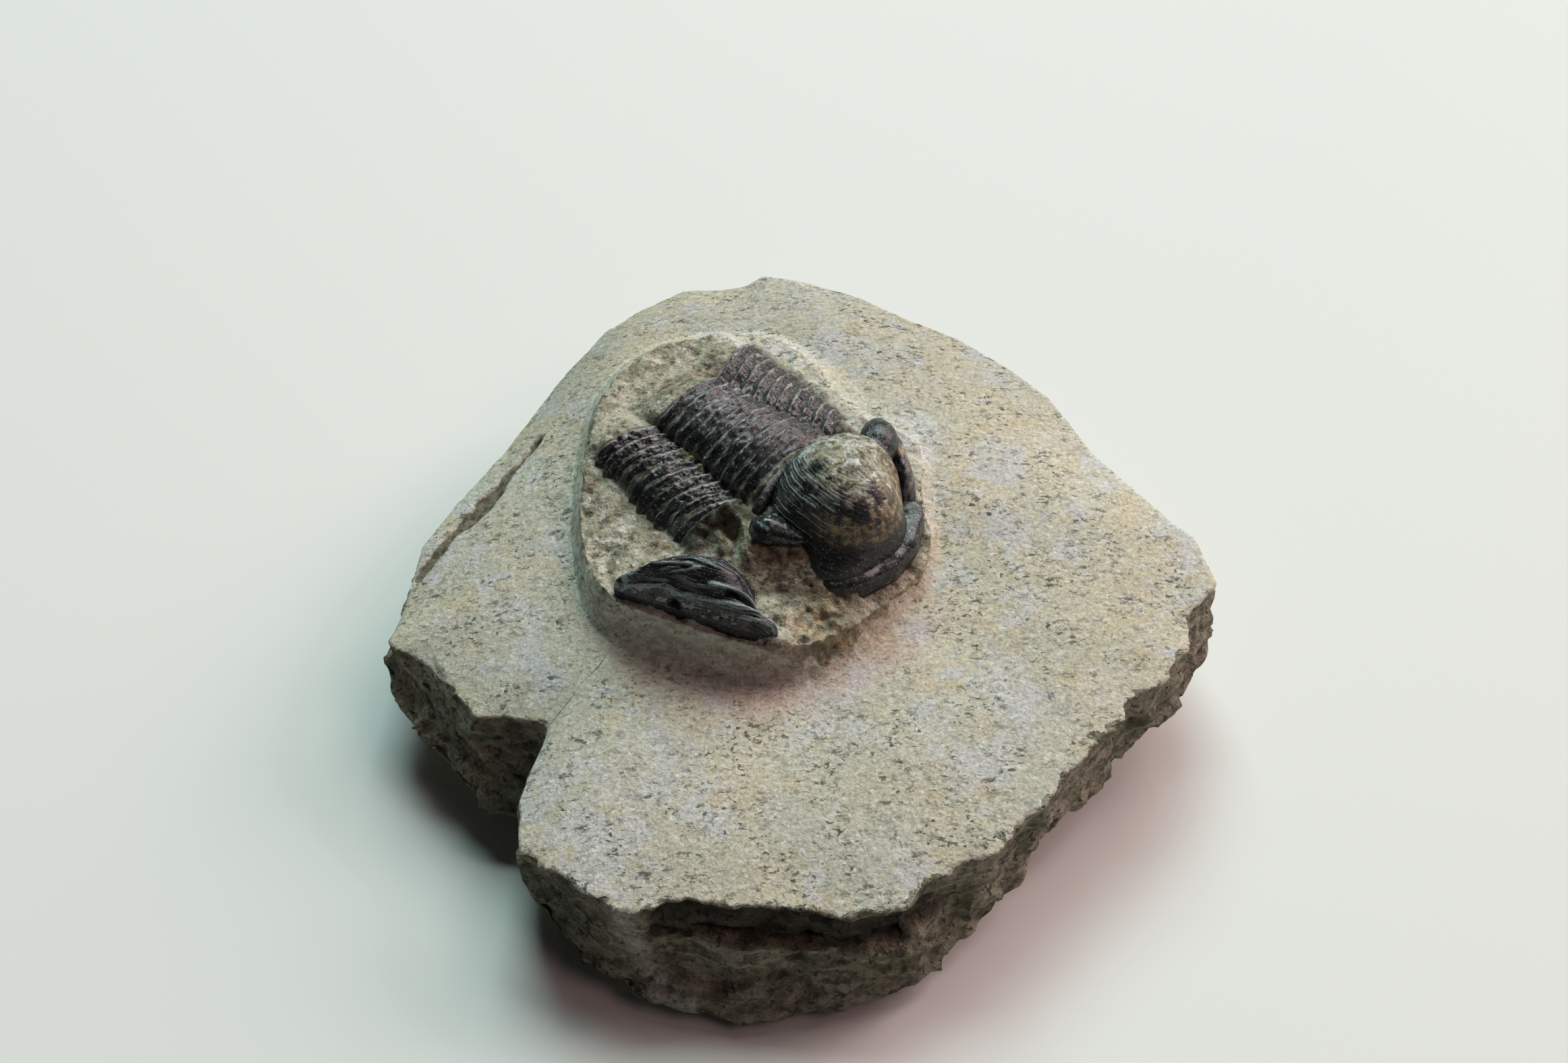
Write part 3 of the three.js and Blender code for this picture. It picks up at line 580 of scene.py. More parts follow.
def stone_marks(stone):
    """What the limestone's material needs to know at each point."""
    p, x, y, a, t = stone.points, stone.x, stone.y, stone.a, stone.t
    share, face = stone.share, stone.face
    inside = 14 * (stone.top + stone.wall + face * (1 - share))
    rim_distance = inside - stone.raw_side * (share * 16 + 0.3) + 1.4 * stone.round_rim
    start, end = np.array(CRACK)
    run = (end - start) / np.linalg.norm(end - start)
    away = np.column_stack([x, y]) - start
    crack_aside = away @ (run[1], -run[0]) + 0.25 * noise(p, 1.6, 14)
    crack_along = window(away @ run, -0.5, 0.5, CRACK_LENGTH - 0.4, CRACK_LENGTH + 0.4)
    seam = distance_to_line(x, y, SEAM_RIDGE)[0] + 0.3 * noise(p, 0.8, 24)
    seam = 1 - ramp(seam, 0.1, 0.7)
    stain = stone.wall * spots(x, y, WALL_STAINS) + stone.top * spots(x, y, TOP_STAINS)
    brown = 1.2 * stone.on_skirt * ramp(a, -1.4, -0.2) + spots(x, y, BROWN_SPOTS)
    # A pinkish painted shadow on the face near the pedestal's foot in front, where the pedestal's shadow
    # falls, and on the wall's front.
    painted_shadow_tint = face * (1 - ramp(share * 14, 0.3, 3.2)) * ramp(-y, 0.5, 5)
    # Darker towards the back of the face; painted shade on the broken sides towards the left and at the
    # front-left corner, in the notch, and in the hollow under the front side's lip.
    side_shade = 0.18 * (1 - ramp(x, 4, 14)) + spots(x, y, CORNER_SHADE)
    darkening_and_painted_shade = 0.2 * face * ramp(y, 6, 18) + (1 - face) * spots(x, y, NOTCH_SHADE)
    darkening_and_painted_shade += stone.raw_side * side_shade * (1 - 0.8 * seam)
    darkening_and_painted_shade += 0.7 * stone.side * stone.front * ramp(x, -9.5, -8.0) * stone.under_lip * (1 - seam)
    strip = stone.top * stone.cheek_strip
    bare = stone.top * (1 - stone.in_thorax) * (1 - 0.9 * strip) * (1 - 0.8 * ramp(t, 5.2, 6.6))
    bare += stone.wall * stone.raw_wall * mix(0.8, 1.0, stone.behind) * (1 - 0.7 * stone.cheek_strip)
    lumps = np.maximum(ramp(-t + 0.3 * noise(p, 2.0, 21), 7.0, 9.0), 0.7 * ramp(-a, 10, 13))
    # Dark under the thorax as painted shade in the gaps between segments, the buried rib's dark shell,
    # and a dark patch.
    dark_bed_and_painted_shade = stone.in_thorax + 0.9 * buried_rib(stone.lane, stone.back) + spots(a, t, DARK_BED)
    olive = 1 - ramp(distance_to_line(a, t, OLIVE_RIDGE)[0], 0.3, 0.9)
    scraped_wall = ramp(-y - 0.6 * x, -2.0, 4.0) * (1 - ramp(x, 3.0, 6.0))
    return {
        "rim_distance": 0.5 + rim_distance / MARK_SPAN,
        "recess": (0.5 + (stone.groove_width - stone.groove) / MARK_SPAN) * face,
        "crack": 0.5 + crack_aside / CRACK_SPAN,
        "crack_along": face * crack_along,
        "pale": 0.8 * (spots(x, y, PALE_SPOTS) + stone.raw_side * seam),
        "stain": stain + spots(x, y, RIM_STAINS),
        "painted_shadow_tint": painted_shadow_tint + stone.wall * spots(x, y, WALL_PAINTED_SHADOW),
        "bare": bare,
        "darkening_and_painted_shade": darkening_and_painted_shade,
        "lumps": stone.top * lumps,
        "bed": stone.top * dark_bed_and_painted_shade,
        "olive": stone.top * olive,
        "brown": stone.top * brown,
        "wall": stone.wall * scraped_wall + strip,
    }


def matrix_stone():
    rings, parts = stone_rings(np.arange(ANGLES) * 2 * math.pi / ANGLES)
    stone = StonePoints(rings, parts)
    moved = stone.points + ring_normals(rings).reshape(-1, 3) * stone_push(stone)[:, None]
    # The rim itself steps in and out where chips broke away.
    ragged = 0.30 * facets(stone.points, 1.6, 15, 1.0) + 0.12 * layered(stone.points, 0.8, 16, 2)
    at_rim = stone.face * ramp(stone.share, 0.9, 1.0) + stone.side * (1 - ramp(stone.share, 0.0, 0.2))
    ragged *= at_rim * (1 - 0.85 * stone.round_rim)
    moved[:, :2] += unit(PEDESTAL_CENTRE - stone.points[:, :2]) * ragged[:, None]
    moved = np.clip(moved, np.array(cad_low) / MM, np.array(cad_high) / MM)
    moved[stone.foot > 0, 2] = 0
    poles = [[*PEDESTAL_CENTRE, moved[:ANGLES, 2].mean()], [*PEDESTAL_CENTRE, 0.0]]
    marks = {}
    for key, values in stone_marks(stone).items():
        marks[key] = np.concatenate([values, [values[:ANGLES].mean(), 0.0]])
    faces = ring_faces(len(parts), ANGLES)
    piece = make_piece("matrix_stone_surface", np.concatenate([moved, poles]), faces, marks)
    finish_piece(piece, limestone_material(), "limestone", "matrix_stone")


# Surfaces given by a field: points and faces where it crosses zero.
def blob(p, at, radii, turn=0):
    """About the distance to an ellipsoid's surface, below 0 inside. The turn is in degrees, in plan."""
    q = p - np.array(at)
    c, s = math.cos(math.radians(turn)), math.sin(math.radians(turn))
    q = np.stack([q[:, 0] * c + q[:, 1] * s, -q[:, 0] * s + q[:, 1] * c, q[:, 2]], 1)
    q /= np.array(radii)
    size = np.linalg.norm(q, axis=1)
    slope = np.linalg.norm(q / np.array(radii), axis=1)
    return size * (size - 1) / np.maximum(slope, 1e-6)


def joined(a, b, soft):
    share = np.clip(0.5 + 0.5 * (b - a) / soft, 0, 1)
    return mix(b, a, share) - soft * share * (1 - share)


def surface_of(field, low, high, cell, halvings):
    """The zero surface of a field as points and outward quads, found coarsely and then refined."""
    axes = [np.arange(low[k], high[k] + cell, cell) for k in range(3)]
    grid = np.stack(np.meshgrid(*axes, indexing="ij"), -1)
    value = field(grid.reshape(-1, 3)).reshape(grid.shape[:3])
    cells = np.array(value.shape) - 1
    total, hits = np.zeros((*cells, 3)), np.zeros(cells)
    crossings = []
    for axis in range(3):
        start = [slice(None)] * 3
        end = [slice(None)] * 3
        start[axis], end[axis] = slice(0, -1), slice(1, None)
        near, far = value[tuple(start)], value[tuple(end)]
        crossed = (near < 0) != (far < 0)
        share = np.where(crossed, near / np.where(crossed, near - far, 1), 0)
        place = grid[tuple(start)].copy()
        place[..., axis] += share * cell
        place *= crossed[..., None]
        u, v = [k for k in range(3) if k != axis]
        for step_u, step_v in np.ndindex(2, 2):
            part = [slice(None)] * 3
            part[u] = slice(step_u, step_u + cells[u])
            part[v] = slice(step_v, step_v + cells[v])
            total += place[tuple(part)]
            hits += crossed[tuple(part)]
        crossings.append((crossed, near < 0, u, v))
    used = hits > 0
    number = np.full(cells, -1)
    number[used] = np.arange(used.sum())
    points = total[used] / hits[used][:, None]
    faces = []
    for axis, (crossed, outward, u, v) in enumerate(crossings):
        inner = np.argwhere(crossed)
        inner = inner[(inner[:, u] > 0) & (inner[:, v] > 0)]
        inner = inner[(inner[:, u] < cells[u]) & (inner[:, v] < cells[v])]
        corners = []
        for step_u, step_v in ((1, 1), (0, 1), (0, 0), (1, 0)):
            at = inner.copy()
            at[:, u] -= step_u
            at[:, v] -= step_v
            corners.append(number[tuple(at.T)])
        quad = np.stack(corners, 1)
        same = outward[tuple(inner.T)] == (axis != 1)
        faces.append(np.where(same[:, None], quad, quad[:, ::-1]))
    faces = np.concatenate(faces)
    for _ in range(halvings):
        points, faces = halved(points, faces)
        cell /= 2
    points, normals = settle(field, points, cell)
    return points, normals, faces


def halved(points, faces):
    """Each quad cut into four, with new points in the middle of its edges and of itself."""
    edges = np.stack([faces, np.roll(faces, -1, 1)], -1)
    ordered = np.sort(edges.reshape(-1, 2), axis=1)
    unique, index = np.unique(ordered, axis=0, return_inverse=True)
    middle = len(points) + index.reshape(faces.shape)
    centre = len(points) + len(unique) + np.arange(len(faces))
    points = np.concatenate([points, points[unique].mean(1), points[faces].mean(1)])
    corners = [
        np.stack([faces[:, k], middle[:, k], centre, middle[:, k - 1]], 1) for k in range(4)
    ]
    return points, np.concatenate(corners)


def settle(field, points, cell):
    """Moves points onto a field's zero surface, and gives its normals there."""
    step = cell * 0.2
    for _ in range(3):
        slope = np.empty_like(points)
        for k in range(3):
            shift = np.zeros(3)
            shift[k] = step
            slope[:, k] = (field(points + shift) - field(points - shift)) / (2 * step)
        size = np.maximum(np.linalg.norm(slope, axis=1), 1e-6)
        away = np.clip(field(points) / size, -cell / 2, cell / 2)
        points = points - slope / size[:, None] * away[:, None]
    return points, slope / size[:, None]


def sector_radius(loop, centre, a, t):
    """How far an outline is from its centre in the directions of some places."""
    loop = smooth_loop([(x, y, 0) for x, y in loop])[:, :2] - centre
    angle = np.arctan2(loop[:, 1], loop[:, 0])
    order = angle.argsort()
    radius = np.hypot(loop[:, 0], loop[:, 1])[order]
    return np.interp(np.arctan2(t - centre[1], a - centre[0]), angle[order], radius, period=2 * math.pi)


# The head, in the fossil's frame, as in the CAD.
GLABELLA = ((0.9, -0.1, 13.3), (4.5, 3.6, 5.5))
GLABELLA_RIGHT = ((0.4, 0.9, 14.0), (3.4, 3.6, 4.6))
GLABELLA_BASE = ((-0.4, -0.2, 13.3), (2.4, 4.1, 4.2))
GLABELLA_FRONT = ((3.0, -1.8, 12.8), (2.2, 2.7, 2.5))
FIXED_CHEEKS = ((-0.2, 0.0, 12.7), (2.8, 5.6, 1.9))
LEFT_EYE_REAR = ((-0.75, -4.75, 14.95), (1.05, 0.85, 0.85), 42)
LEFT_EYE_FRONT = ((0.25, -4.30, 14.75), (1.40, 0.55, 0.65), 28)
RIGHT_BRIDGE = ((0.0, 3.9, 14.3), (1.0, 1.4, 1.4), 0)
LEFT_BRIDGE = ((-1.0, -3.2, 14.0), (1.2, 1.4, 1.2), 0)
RIGHT_EYE_LOBE = ((-0.4, 4.8, 15.45), (1.7, 1.2, 1.25), -42)
LEFT_EYE_SOCLE = ((0.3, -4.6, 13.0), (1.7, 0.8, 1.3), 42)
RIGHT_EYE_SOCLE = ((-0.4, 4.2, 14.0), (1.5, 1.1, 1.8), -42)
OCCIPITAL_ALONG = -2.5
OCCIPITAL_CHORD = 0.9
OCCIPITAL_HALF_WIDTH = 4.2
OCCIPITAL_CREST = 16.6
OCCIPITAL_SIDE = 13.6
BORDER_LINE = [
    (3.8, 3.3, 13.0), (4.2, 3.0, 12.9), (5.1, 1.5, 12.8), (5.4, -0.4, 12.7),
    (5.0, -2.3, 12.6), (4.2, -3.8, 12.6), (3.0, -4.7, 12.6),
]
BORDER_HALF_WIDTH = 0.7
BORDER_HALF_HEIGHT = 1.0
HEAD_FLOOR = 11.8
HEAD_PLATE_TOP = 13.0
HEAD_CENTRE = np.array([1.0, 0.0])
HEAD_OUTLINE = [
    (-2.8, 0.0), (-2.7, 3.4), (-2.0, 5.0), (-0.6, 5.1), (1.6, 4.4), (3.0, 4.0), (4.5, 3.2), (5.6, 0.9),
    (5.7, -1.0), (5.1, -3.1), (4.1, -4.5), (2.6, -5.1), (1.2, -5.4), (-0.6, -6.0), (-2.0, -5.6),
    (-2.7, -3.6),
]


def head_fields(p):
    """The fields of the head's parts, by name."""
    a, t, z = p.T
    gap, along = distance_to_line(a, t, BORDER_LINE)
    narrowing = 1 - 0.35 * ramp(along, 0.75, 1.0)
    across = gap / BORDER_HALF_WIDTH / narrowing
    up = (z - third_value(BORDER_LINE, along)) / BORDER_HALF_HEIGHT / narrowing
    roll = (np.abs(across) ** 3 + np.abs(up) ** 3) ** (1 / 3)
    round_top = np.sqrt(np.clip(1 - (t / OCCIPITAL_HALF_WIDTH) ** 2, 0, 1))
    arch = OCCIPITAL_SIDE - 1 + (OCCIPITAL_CREST - OCCIPITAL_SIDE) * round_top
    ring = np.hypot((a - OCCIPITAL_ALONG) / (OCCIPITAL_CHORD / 2), np.maximum(z - arch, 0))
    ring_sides = np.abs(t) - OCCIPITAL_HALF_WIDTH
    from_centre = np.hypot(a - HEAD_CENTRE[0], t - HEAD_CENTRE[1])
    outside = from_centre - sector_radius(HEAD_OUTLINE, HEAD_CENTRE, a, t)
    bulb = joined(blob(p, *GLABELLA), blob(p, *GLABELLA_RIGHT), 0.4)
    return {
        "glabella": joined(bulb, blob(p, *GLABELLA_BASE), 0.7),
        "front": blob(p, *GLABELLA_FRONT),
        "cheeks": blob(p, *FIXED_CHEEKS),
        "bridge": np.minimum(blob(p, *RIGHT_BRIDGE), blob(p, *LEFT_BRIDGE)),
        "socles": np.minimum(blob(p, *LEFT_EYE_SOCLE), blob(p, *RIGHT_EYE_SOCLE)),
        "left_eye": joined(blob(p, *LEFT_EYE_REAR), blob(p, *LEFT_EYE_FRONT), 0.9),
        "right_eye": blob(p, *RIGHT_EYE_LOBE),
        "border": (roll - 1) * BORDER_HALF_WIDTH,
        "occipital": np.maximum((ring - 1) * OCCIPITAL_CHORD / 2, ring_sides),
        "plate": np.maximum(outside, z - HEAD_PLATE_TOP),
    }


# How softly each part of the head runs into those before it, in millimetres.
HEAD_JOINTS = {
    "cheeks": 0.35, "bridge": 0.4, "socles": 0.4, "occipital": 0.12, "bulb": 0.2, "border": 0.1,
    "left_eye": 0.12, "right_eye": 0.35,
}


def head_field(p):
    parts = head_fields(p)
    parts["bulb"] = joined(parts["glabella"], parts["front"], 0.8)
    body = parts["plate"]
    for name, softness in HEAD_JOINTS.items():
        body = joined(body, parts[name], softness)
    return np.maximum(body, HEAD_FLOOR - p[:, 2])


def fine_lines(phase, along, seed, width, broken, run):
    """Thin lines where a phase passes a half, each with breaks of its own along its length."""
    place = np.stack([along, np.floor(phase) * 3.7, np.zeros(len(along))], 1)
    return hump(phase % 1.0 - 0.5, width) * ramp(noise(place, run, seed), broken - 0.15, broken + 0.15)


# Marks on the glabella, in the fossil's frame as forward, right, radius and strength: specks of
# pale rock left on its top, and places where the black shell is whole.
PALE_MARKS = [
    (-0.4, -0.4, 0.63, 1), (-0.15, -0.75, 0.45, 1), (-0.9, 0.1, 0.54, 1), (1.9, 1.05, 0.54, 1),
    (2.5, 2.05, 0.45, 1),
]
DARK_MARKS = [(3.5, 0.15, 0.72, 1), (2.85, -2.1, 0.63, 1), (3.8, -1.35, 0.99, 1), (0.05, -1.3, 0.63, 1)]
HEAD_BOX = ((-3.4, -6.6, HEAD_FLOOR - 0.2), (6.5, 6.6, 19.1))
# Fine arcs run round this point of the glabella, in an oval squashed along the animal.
ARC_CENTRE = (1.2, 0.9)
ARC_SQUASH = 0.6
DASH_PITCH = 0.50
SCRATCH_PITCH = 0.25


class HeadPoints:
    """The head's smooth points, with what the relief and the marks need to know of each."""

    def __init__(self, points, normals):
        self.points, self.normals = points, normals
        self.fields = head_fields(points)
        nearest = np.stack(list(self.fields.values())).argmin(0)
        part = {name: (nearest == k).astype(float) for k, name in enumerate(self.fields)}
        self.part = part
        a, t, z = points.T
        self.a, self.t, self.z = a, t, z
        self.bulb = part["glabella"] + part["front"]
        self.rugged = part["cheeks"] + part["plate"] + part["socles"] + part["bridge"]
        self.eyes = part["left_eye"] + part["right_eye"]
        forward, right = (a - ARC_CENTRE[0]) * ARC_SQUASH, t - ARC_CENTRE[1]
        self.arc = np.hypot(forward, right) - 0.7 * z
        self.arc += 0.10 * noise(points, 1.6, 40) + 0.05 * noise(points, 0.6, 57)
        self.round_arc = np.arctan2(forward, -right) * 3.5
        # The arcs are raised and broken into dashes down the left flank.
        self.flank = self.bulb * ramp(-t, 0.5, 1.5) * (1 - ramp(a, 2.2, 3.4))
        self.flank *= window(z, 14.2, 15.0, 17.6, 18.4)
        dashes = fine_lines(self.arc / DASH_PITCH, self.round_arc, 41, 0.11, -0.15, 0.9)
        scratches = fine_lines(self.arc / SCRATCH_PITCH + 0.3, self.round_arc, 42, 0.16, -0.1, 1.1)
        self.dashes, self.scratches = self.bulb * dashes, self.bulb * scratches
        self.border_gap, self.border_along = distance_to_line(a, t, BORDER_LINE)


def head_push(head):
    """How far each point moves outward, for the lines, pits and unevenness of each part."""
    p, part, a, t, z = head.points, head.part, head.a, head.t, head.z
    push = 0.05 * head.dashes * head.flank + 0.012 * head.scratches * ramp(z, 15.6, 16.6)
    pits = (1 - ramp(nearest_cell(p, 0.7, 43)[0], 0.05, 0.22)) * (noise(p, 1.5, 44) > 0.0)
    uneven = 0.05 * noise(p, 1.3, 52) + 0.05 * head.flank * noise(p, 0.45, 54)
    push += head.bulb * (uneven - 0.08 * pits * ramp(z, 15.4, 16.4))
    rim_lines = fine_lines(head.fields["border"] / 0.2 + z / 0.34, t + a, 45, 0.2, -0.2, 0.9)
    push += part["border"] * (0.04 * rim_lines + 0.06 * noise(p, 0.8, 53))
    push += head.rugged * (0.09 * layered(p, 0.8, 46, 3) - 0.10 * pits)
    push += part["occipital"] * 0.06 * layered(p, 0.5, 47, 2)
    push += 0.03 * head.eyes * noise(p, 0.6, 55)
    return push + 0.014 * noise(p, 0.22, 48) * (1 - part["left_eye"])


def head_wear(head, blotches, patches):
    """How far the black shell turns grey, by wear and by painted light: worn on top, in dashes, along the
    border and on the occipital ring, with painted highlights on the border's crest, on the eyes and in a
    glint line.
    """
    p, part, a, t, z, bulb = head.points, head.part, head.a, head.t, head.z, head.bulb
    facing_up = head.normals[:, 2]
    on_top = ramp(z + 0.4 * blotches + 0.3 * patches, 16.2, 18.0)
    worn = bulb * on_top * (0.74 + 0.45 * blotches) * (1 - 0.5 * head.flank)
    worn += head.scratches * (0.2 * ramp(z, 15.6, 16.6) + 0.5 * head.flank)
    worn += 0.9 * head.dashes * head.flank
    worn -= 1.1 * bulb * spots(a, t, DARK_MARKS) * ramp(blotches, -0.8, 0.2)
    worn += part["occipital"] * 0.7 * ramp(facing_up + 0.5 * blotches, 0.2, 0.8)
    border_worn = mix(0.15, 0.42, ramp(t, -1.5, 0.5)) * (0.7 + 0.5 * blotches) * ramp(facing_up, 0.5, 0.9)
    # A painted lilac highlight along the border's crest.
    painted_crest_highlight = hump(head.border_gap - 0.2, 0.25) * ramp(facing_up, 0.3, 0.7)
    painted_crest_highlight *= window(t, -3.2, -2.2, 0.4, 1.0)
    worn += part["border"] * (border_worn + painted_crest_highlight * (0.35 + 0.8 * blotches))
    # Painted bluish highlights on the eyes.
    worn += part["right_eye"] * 0.6 * ramp(blotches, -0.1, 0.5) * ramp(-head.normals[:, 1], -0.3, 0.5)
    worn += part["left_eye"] * 0.5 * ramp(noise(p * (0.5, 1.6, 1.6), 0.5, 56), 0.1, 0.5)
    # A painted glint line across the glabella.
    glint = hump(z - 16.45 + 0.1 * patches, 0.08) * ramp(a, 2.9, 3.4) * ramp(-t, 0.0, 0.8)
    return worn + bulb * glint * ramp(blotches, -0.6, 0.1)


def head_marks(head):
    """What the calcite's material needs to know at each point of the roughened head."""
    p, part, a, t, z, bulb = head.points, head.part, head.a, head.t, head.z, head.bulb
    patches, blotches = noise(p, 1.5, 49), layered(p, 0.6, 50, 3)
    band = ramp(z, 14.9, 15.8) * (1 - 0.4 * ramp(z, 17.2, 18.0)) * ramp(a + 0.4 * t, -0.8, 0.8)
    amber = bulb * band * (1 - 0.7 * head.flank) * (0.70 + 0.8 * blotches + 0.3 * patches)
    amber -= bulb * spots(a, t, DARK_MARKS)
    amber += head.rugged * ramp(-t, 2.5, 4.0) * ramp(a, -0.9, 0.3) * (0.9 + 0.3 * blotches)
    furrows = 1 - ramp(np.abs(head.fields["cheeks"] - head.fields["glabella"]), 0.0, 0.35)
    dust = 0.8 * bulb * spots(a, t, PALE_MARKS)
    dust += 0.6 * head.rugged * (1 - ramp(a, -1.6, -0.6)) * ramp(-t, 2.5, 3.5)
    dust += 0.25 * furrows * (1 - head.eyes) * ramp(noise(p, 0.9, 51), 0.0, 0.5)
    tint = 0.45 * part["border"] * (1 - ramp(t, -0.8, 0.8)) + 0.8 * head.flank + 0.9 * head.eyes
    tint += 0.5 * part["occipital"] + 0.3 * part["glabella"] * ramp(patches, -0.2, 0.5)
    run = mix(mix(t - a, head.round_arc, bulb), head.border_along * 13, part["border"])
    cross = mix(mix(a + t + z, head.arc, bulb), head.border_gap + z, part["border"])
    return grain_marks(
        run, cross, worn=head_wear(head, blotches, patches), amber=amber, dust=dust, tint=tint,
        gloss=part["left_eye"], marble=bulb * (1 - 0.8 * head.flank),
    )


def grain_marks(run, cross, **marks):
    """A shell piece's marks, with the places along and across its grain."""
    return {"run": 0.5 + run / GRAIN_SPAN, "cross": 0.5 + cross / GRAIN_SPAN, **marks}


def cranidium():
    points, normals, faces = surface_of(head_field, *HEAD_BOX, HEAD_CELL, 1)
    head = HeadPoints(points, normals)
    head.points = points + normals * head_push(head)[:, None]
    head.points[:, 2] = np.maximum(head.points[:, 2], HEAD_FLOOR)
    piece = make_piece("cranidium_surface", from_fossil(head.points), faces, head_marks(head))
    finish_piece(piece, calcite_material(), "calcite", "cranidium")


# The thorax segments. The profile runs from a segment's front to its rear, as height in mm.
PROFILE = [
    (0.00, -0.36), (0.03, -0.26), (0.10, -0.20), (0.30, -0.12), (0.50, -0.06), (0.62, -0.02),
    (0.73, 0.04), (0.84, 0.07), (0.92, 0.05), (0.97, -0.03), (0.99, -0.14), (1.00, -0.34),
]
SEGMENT_THICKNESS = 1.0
SEGMENT_GAP = 0.03
WORN_SPOTS = [(-10.2, 0.6, 2.6, 0.55), (-11.2, 2.2, 2.0, 0.33)]


def joint_line(index, lane):
    """How far along the animal the line between two segments runs, lane by lane."""
    place = np.stack([lane.ravel() * 4, np.full(lane.size, index * 7.0), np.zeros(lane.size)], 1)
    wander = 0.11 * noise(place, 1.9, 60) + 0.05 * noise(place, 0.7, 68)
    return THORAX_FRONT - SEGMENT_PITCH * index - setback(lane) + wander.reshape(lane.shape)


def shell_piece(node, surface, under, marks, end_mark):
    """A shell's upper surface in rows of points, closed below at some height and at both ends."""
    below = surface[:, [-1, 0]].copy()
    below[..., 2] = under
    loops = np.concatenate([surface, below], 1)
    points = np.concatenate([loops.reshape(-1, 3), loops[[0, -1]].mean(1)])
    for key, values in marks.items():
        rows = np.pad(np.reshape(values, surface.shape[:2]), ((0, 0), (0, 2)))
        marks[key] = np.concatenate([rows.ravel(), [end_mark, end_mark]])
    piece = make_piece(f"{node}_surface", from_fossil(points), ring_faces(*loops.shape[:2]), marks)
    finish_piece(piece, calcite_material(), "calcite", node)


def smooth_segment(index, share, u, lane, out):
    """A segment's upper surface before it is worn, as places along, across and up."""
    relief = np.interp(u, *zip(*PROFILE)) * mix(1.0, 1.25, out)
    taper = np.sqrt(1 - np.clip((out - 0.84) / 0.16, 0, 0.99) ** 2)
    top = thorax_height(share, lane) + relief - 0.5 * (1 - taper)
    inside = mix(0.5, SEGMENT_GAP, mix(0.35, 1.0, taper))
    along = mix(joint_line(index, lane), joint_line(index + 1, lane), inside + u * (1 - 2 * inside))
    tips = np.array([[index * 7.0, side, 0.0] for side in (-1.0, 1.0)])
    longer = np.where(lane < 0, *(0.09 * noise(tips, 1.7, 55)))
    return np.stack([along, across_at(share, lane) * (1 + ramp(out, 0.2, 1.0) * longer), top], -1)


def thorax_segment(index):
    axis = np.sin(np.linspace(-0.5, 0.5, AXIS_STEPS + 1) * math.pi)
    side = 1 + np.linspace(0, 1, RIB_STEPS + 1)[1:]
    u, lane = np.meshgrid(np.linspace(0, 1, SEGMENT_STEPS + 1), [*-side[::-1], *axis, *side])
    share = (index + 0.5) / SEGMENTS
    out = np.clip(np.abs(lane) - 1, 0, 1)
    surface = smooth_segment(index, share, u, lane, out)

    def patches(size, seed, layers=2):
        return layered(surface.reshape(-1, 3), size, seed, layers).reshape(u.shape)

    # The inner halves of the left ribs and all the short right ribs are worn and rough.
    crumble = ramp(-lane, 0.95, 1.1) * (1 - ramp(out - 0.25 * share**2, 0.30, 0.70))
    crumble = np.maximum(crumble, 0.4 * ramp(lane, 1.1, 1.6))
    place = surface[..., [1, 0, 0]].reshape(-1, 3) * (1, 5, 0)
    fibres = noise(place, 0.9, 58).reshape(u.shape)
    fill = hump(np.abs(lane) - 1.02, 0.06) * ramp(patches(0.9, 63), -0.1, 0.5)
    fill *= np.where(lane < 0, 1.0, 0.3)
    rough = patches(0.40, 61) * mix(0.045, 0.12, crumble) + 0.08 * patches(1.1, 62) + 0.03 * fibres
    chipped = ramp(patches(0.7, 69), 0.25, 0.6) * ramp(u, 0.82, 0.88)
    surface[..., 2] += rough + 0.20 * fill - 0.10 * chipped

    start = 0.66 - 0.08 * share + 0.12 * patches(0.5, 59) + 0.08 * patches(1.6, 57)
    start -= 0.06 * ramp(lane, 1.0, 1.4)
    strength = np.clip(0.60 + 0.55 * patches(1.0, 56, 3), 0.1, 1.2)
    edge = ramp(u, start, start + 0.24) + 0.3 * (1 - ramp(u, 0.02, 0.10))
    worn = edge * strength * (0.85 + 0.35 * fibres) * mix(1.0, 0.55, ramp(-lane, 1.5, 2.0))
    worn += crumble * (0.45 + 0.5 * patches(0.40, 65, 3)) * mix(0.75, 1.0, ramp(u, 0.3, 0.9))
    worn += 0.30 * ramp(patches(0.8, 66, 3) + 0.4 * fibres, 0.25, 0.8) * (np.abs(lane) < 0.97)
    worn_spots = spots(surface[..., 0], surface[..., 1], WORN_SPOTS)
    worn += worn_spots * ramp(patches(0.6, 67), -0.5, 0.3)
    dust = fill + 0.55 * ramp(out + 0.12 * patches(0.4, 54, 3), 0.84, 1.0)
    tint = 0.70 - 0.33 * ramp(np.abs(lane), 0.9, 1.1)
    marks = grain_marks(surface[..., 1], (index + u) * SEGMENT_PITCH, worn=worn, dust=dust, tint=tint)
    under = (thorax_height(share, lane) - SEGMENT_THICKNESS)[:, [-1, 0]]
    shell_piece(f"thorax_segment_{index + 1:02d}", surface, under, marks, 0.0)


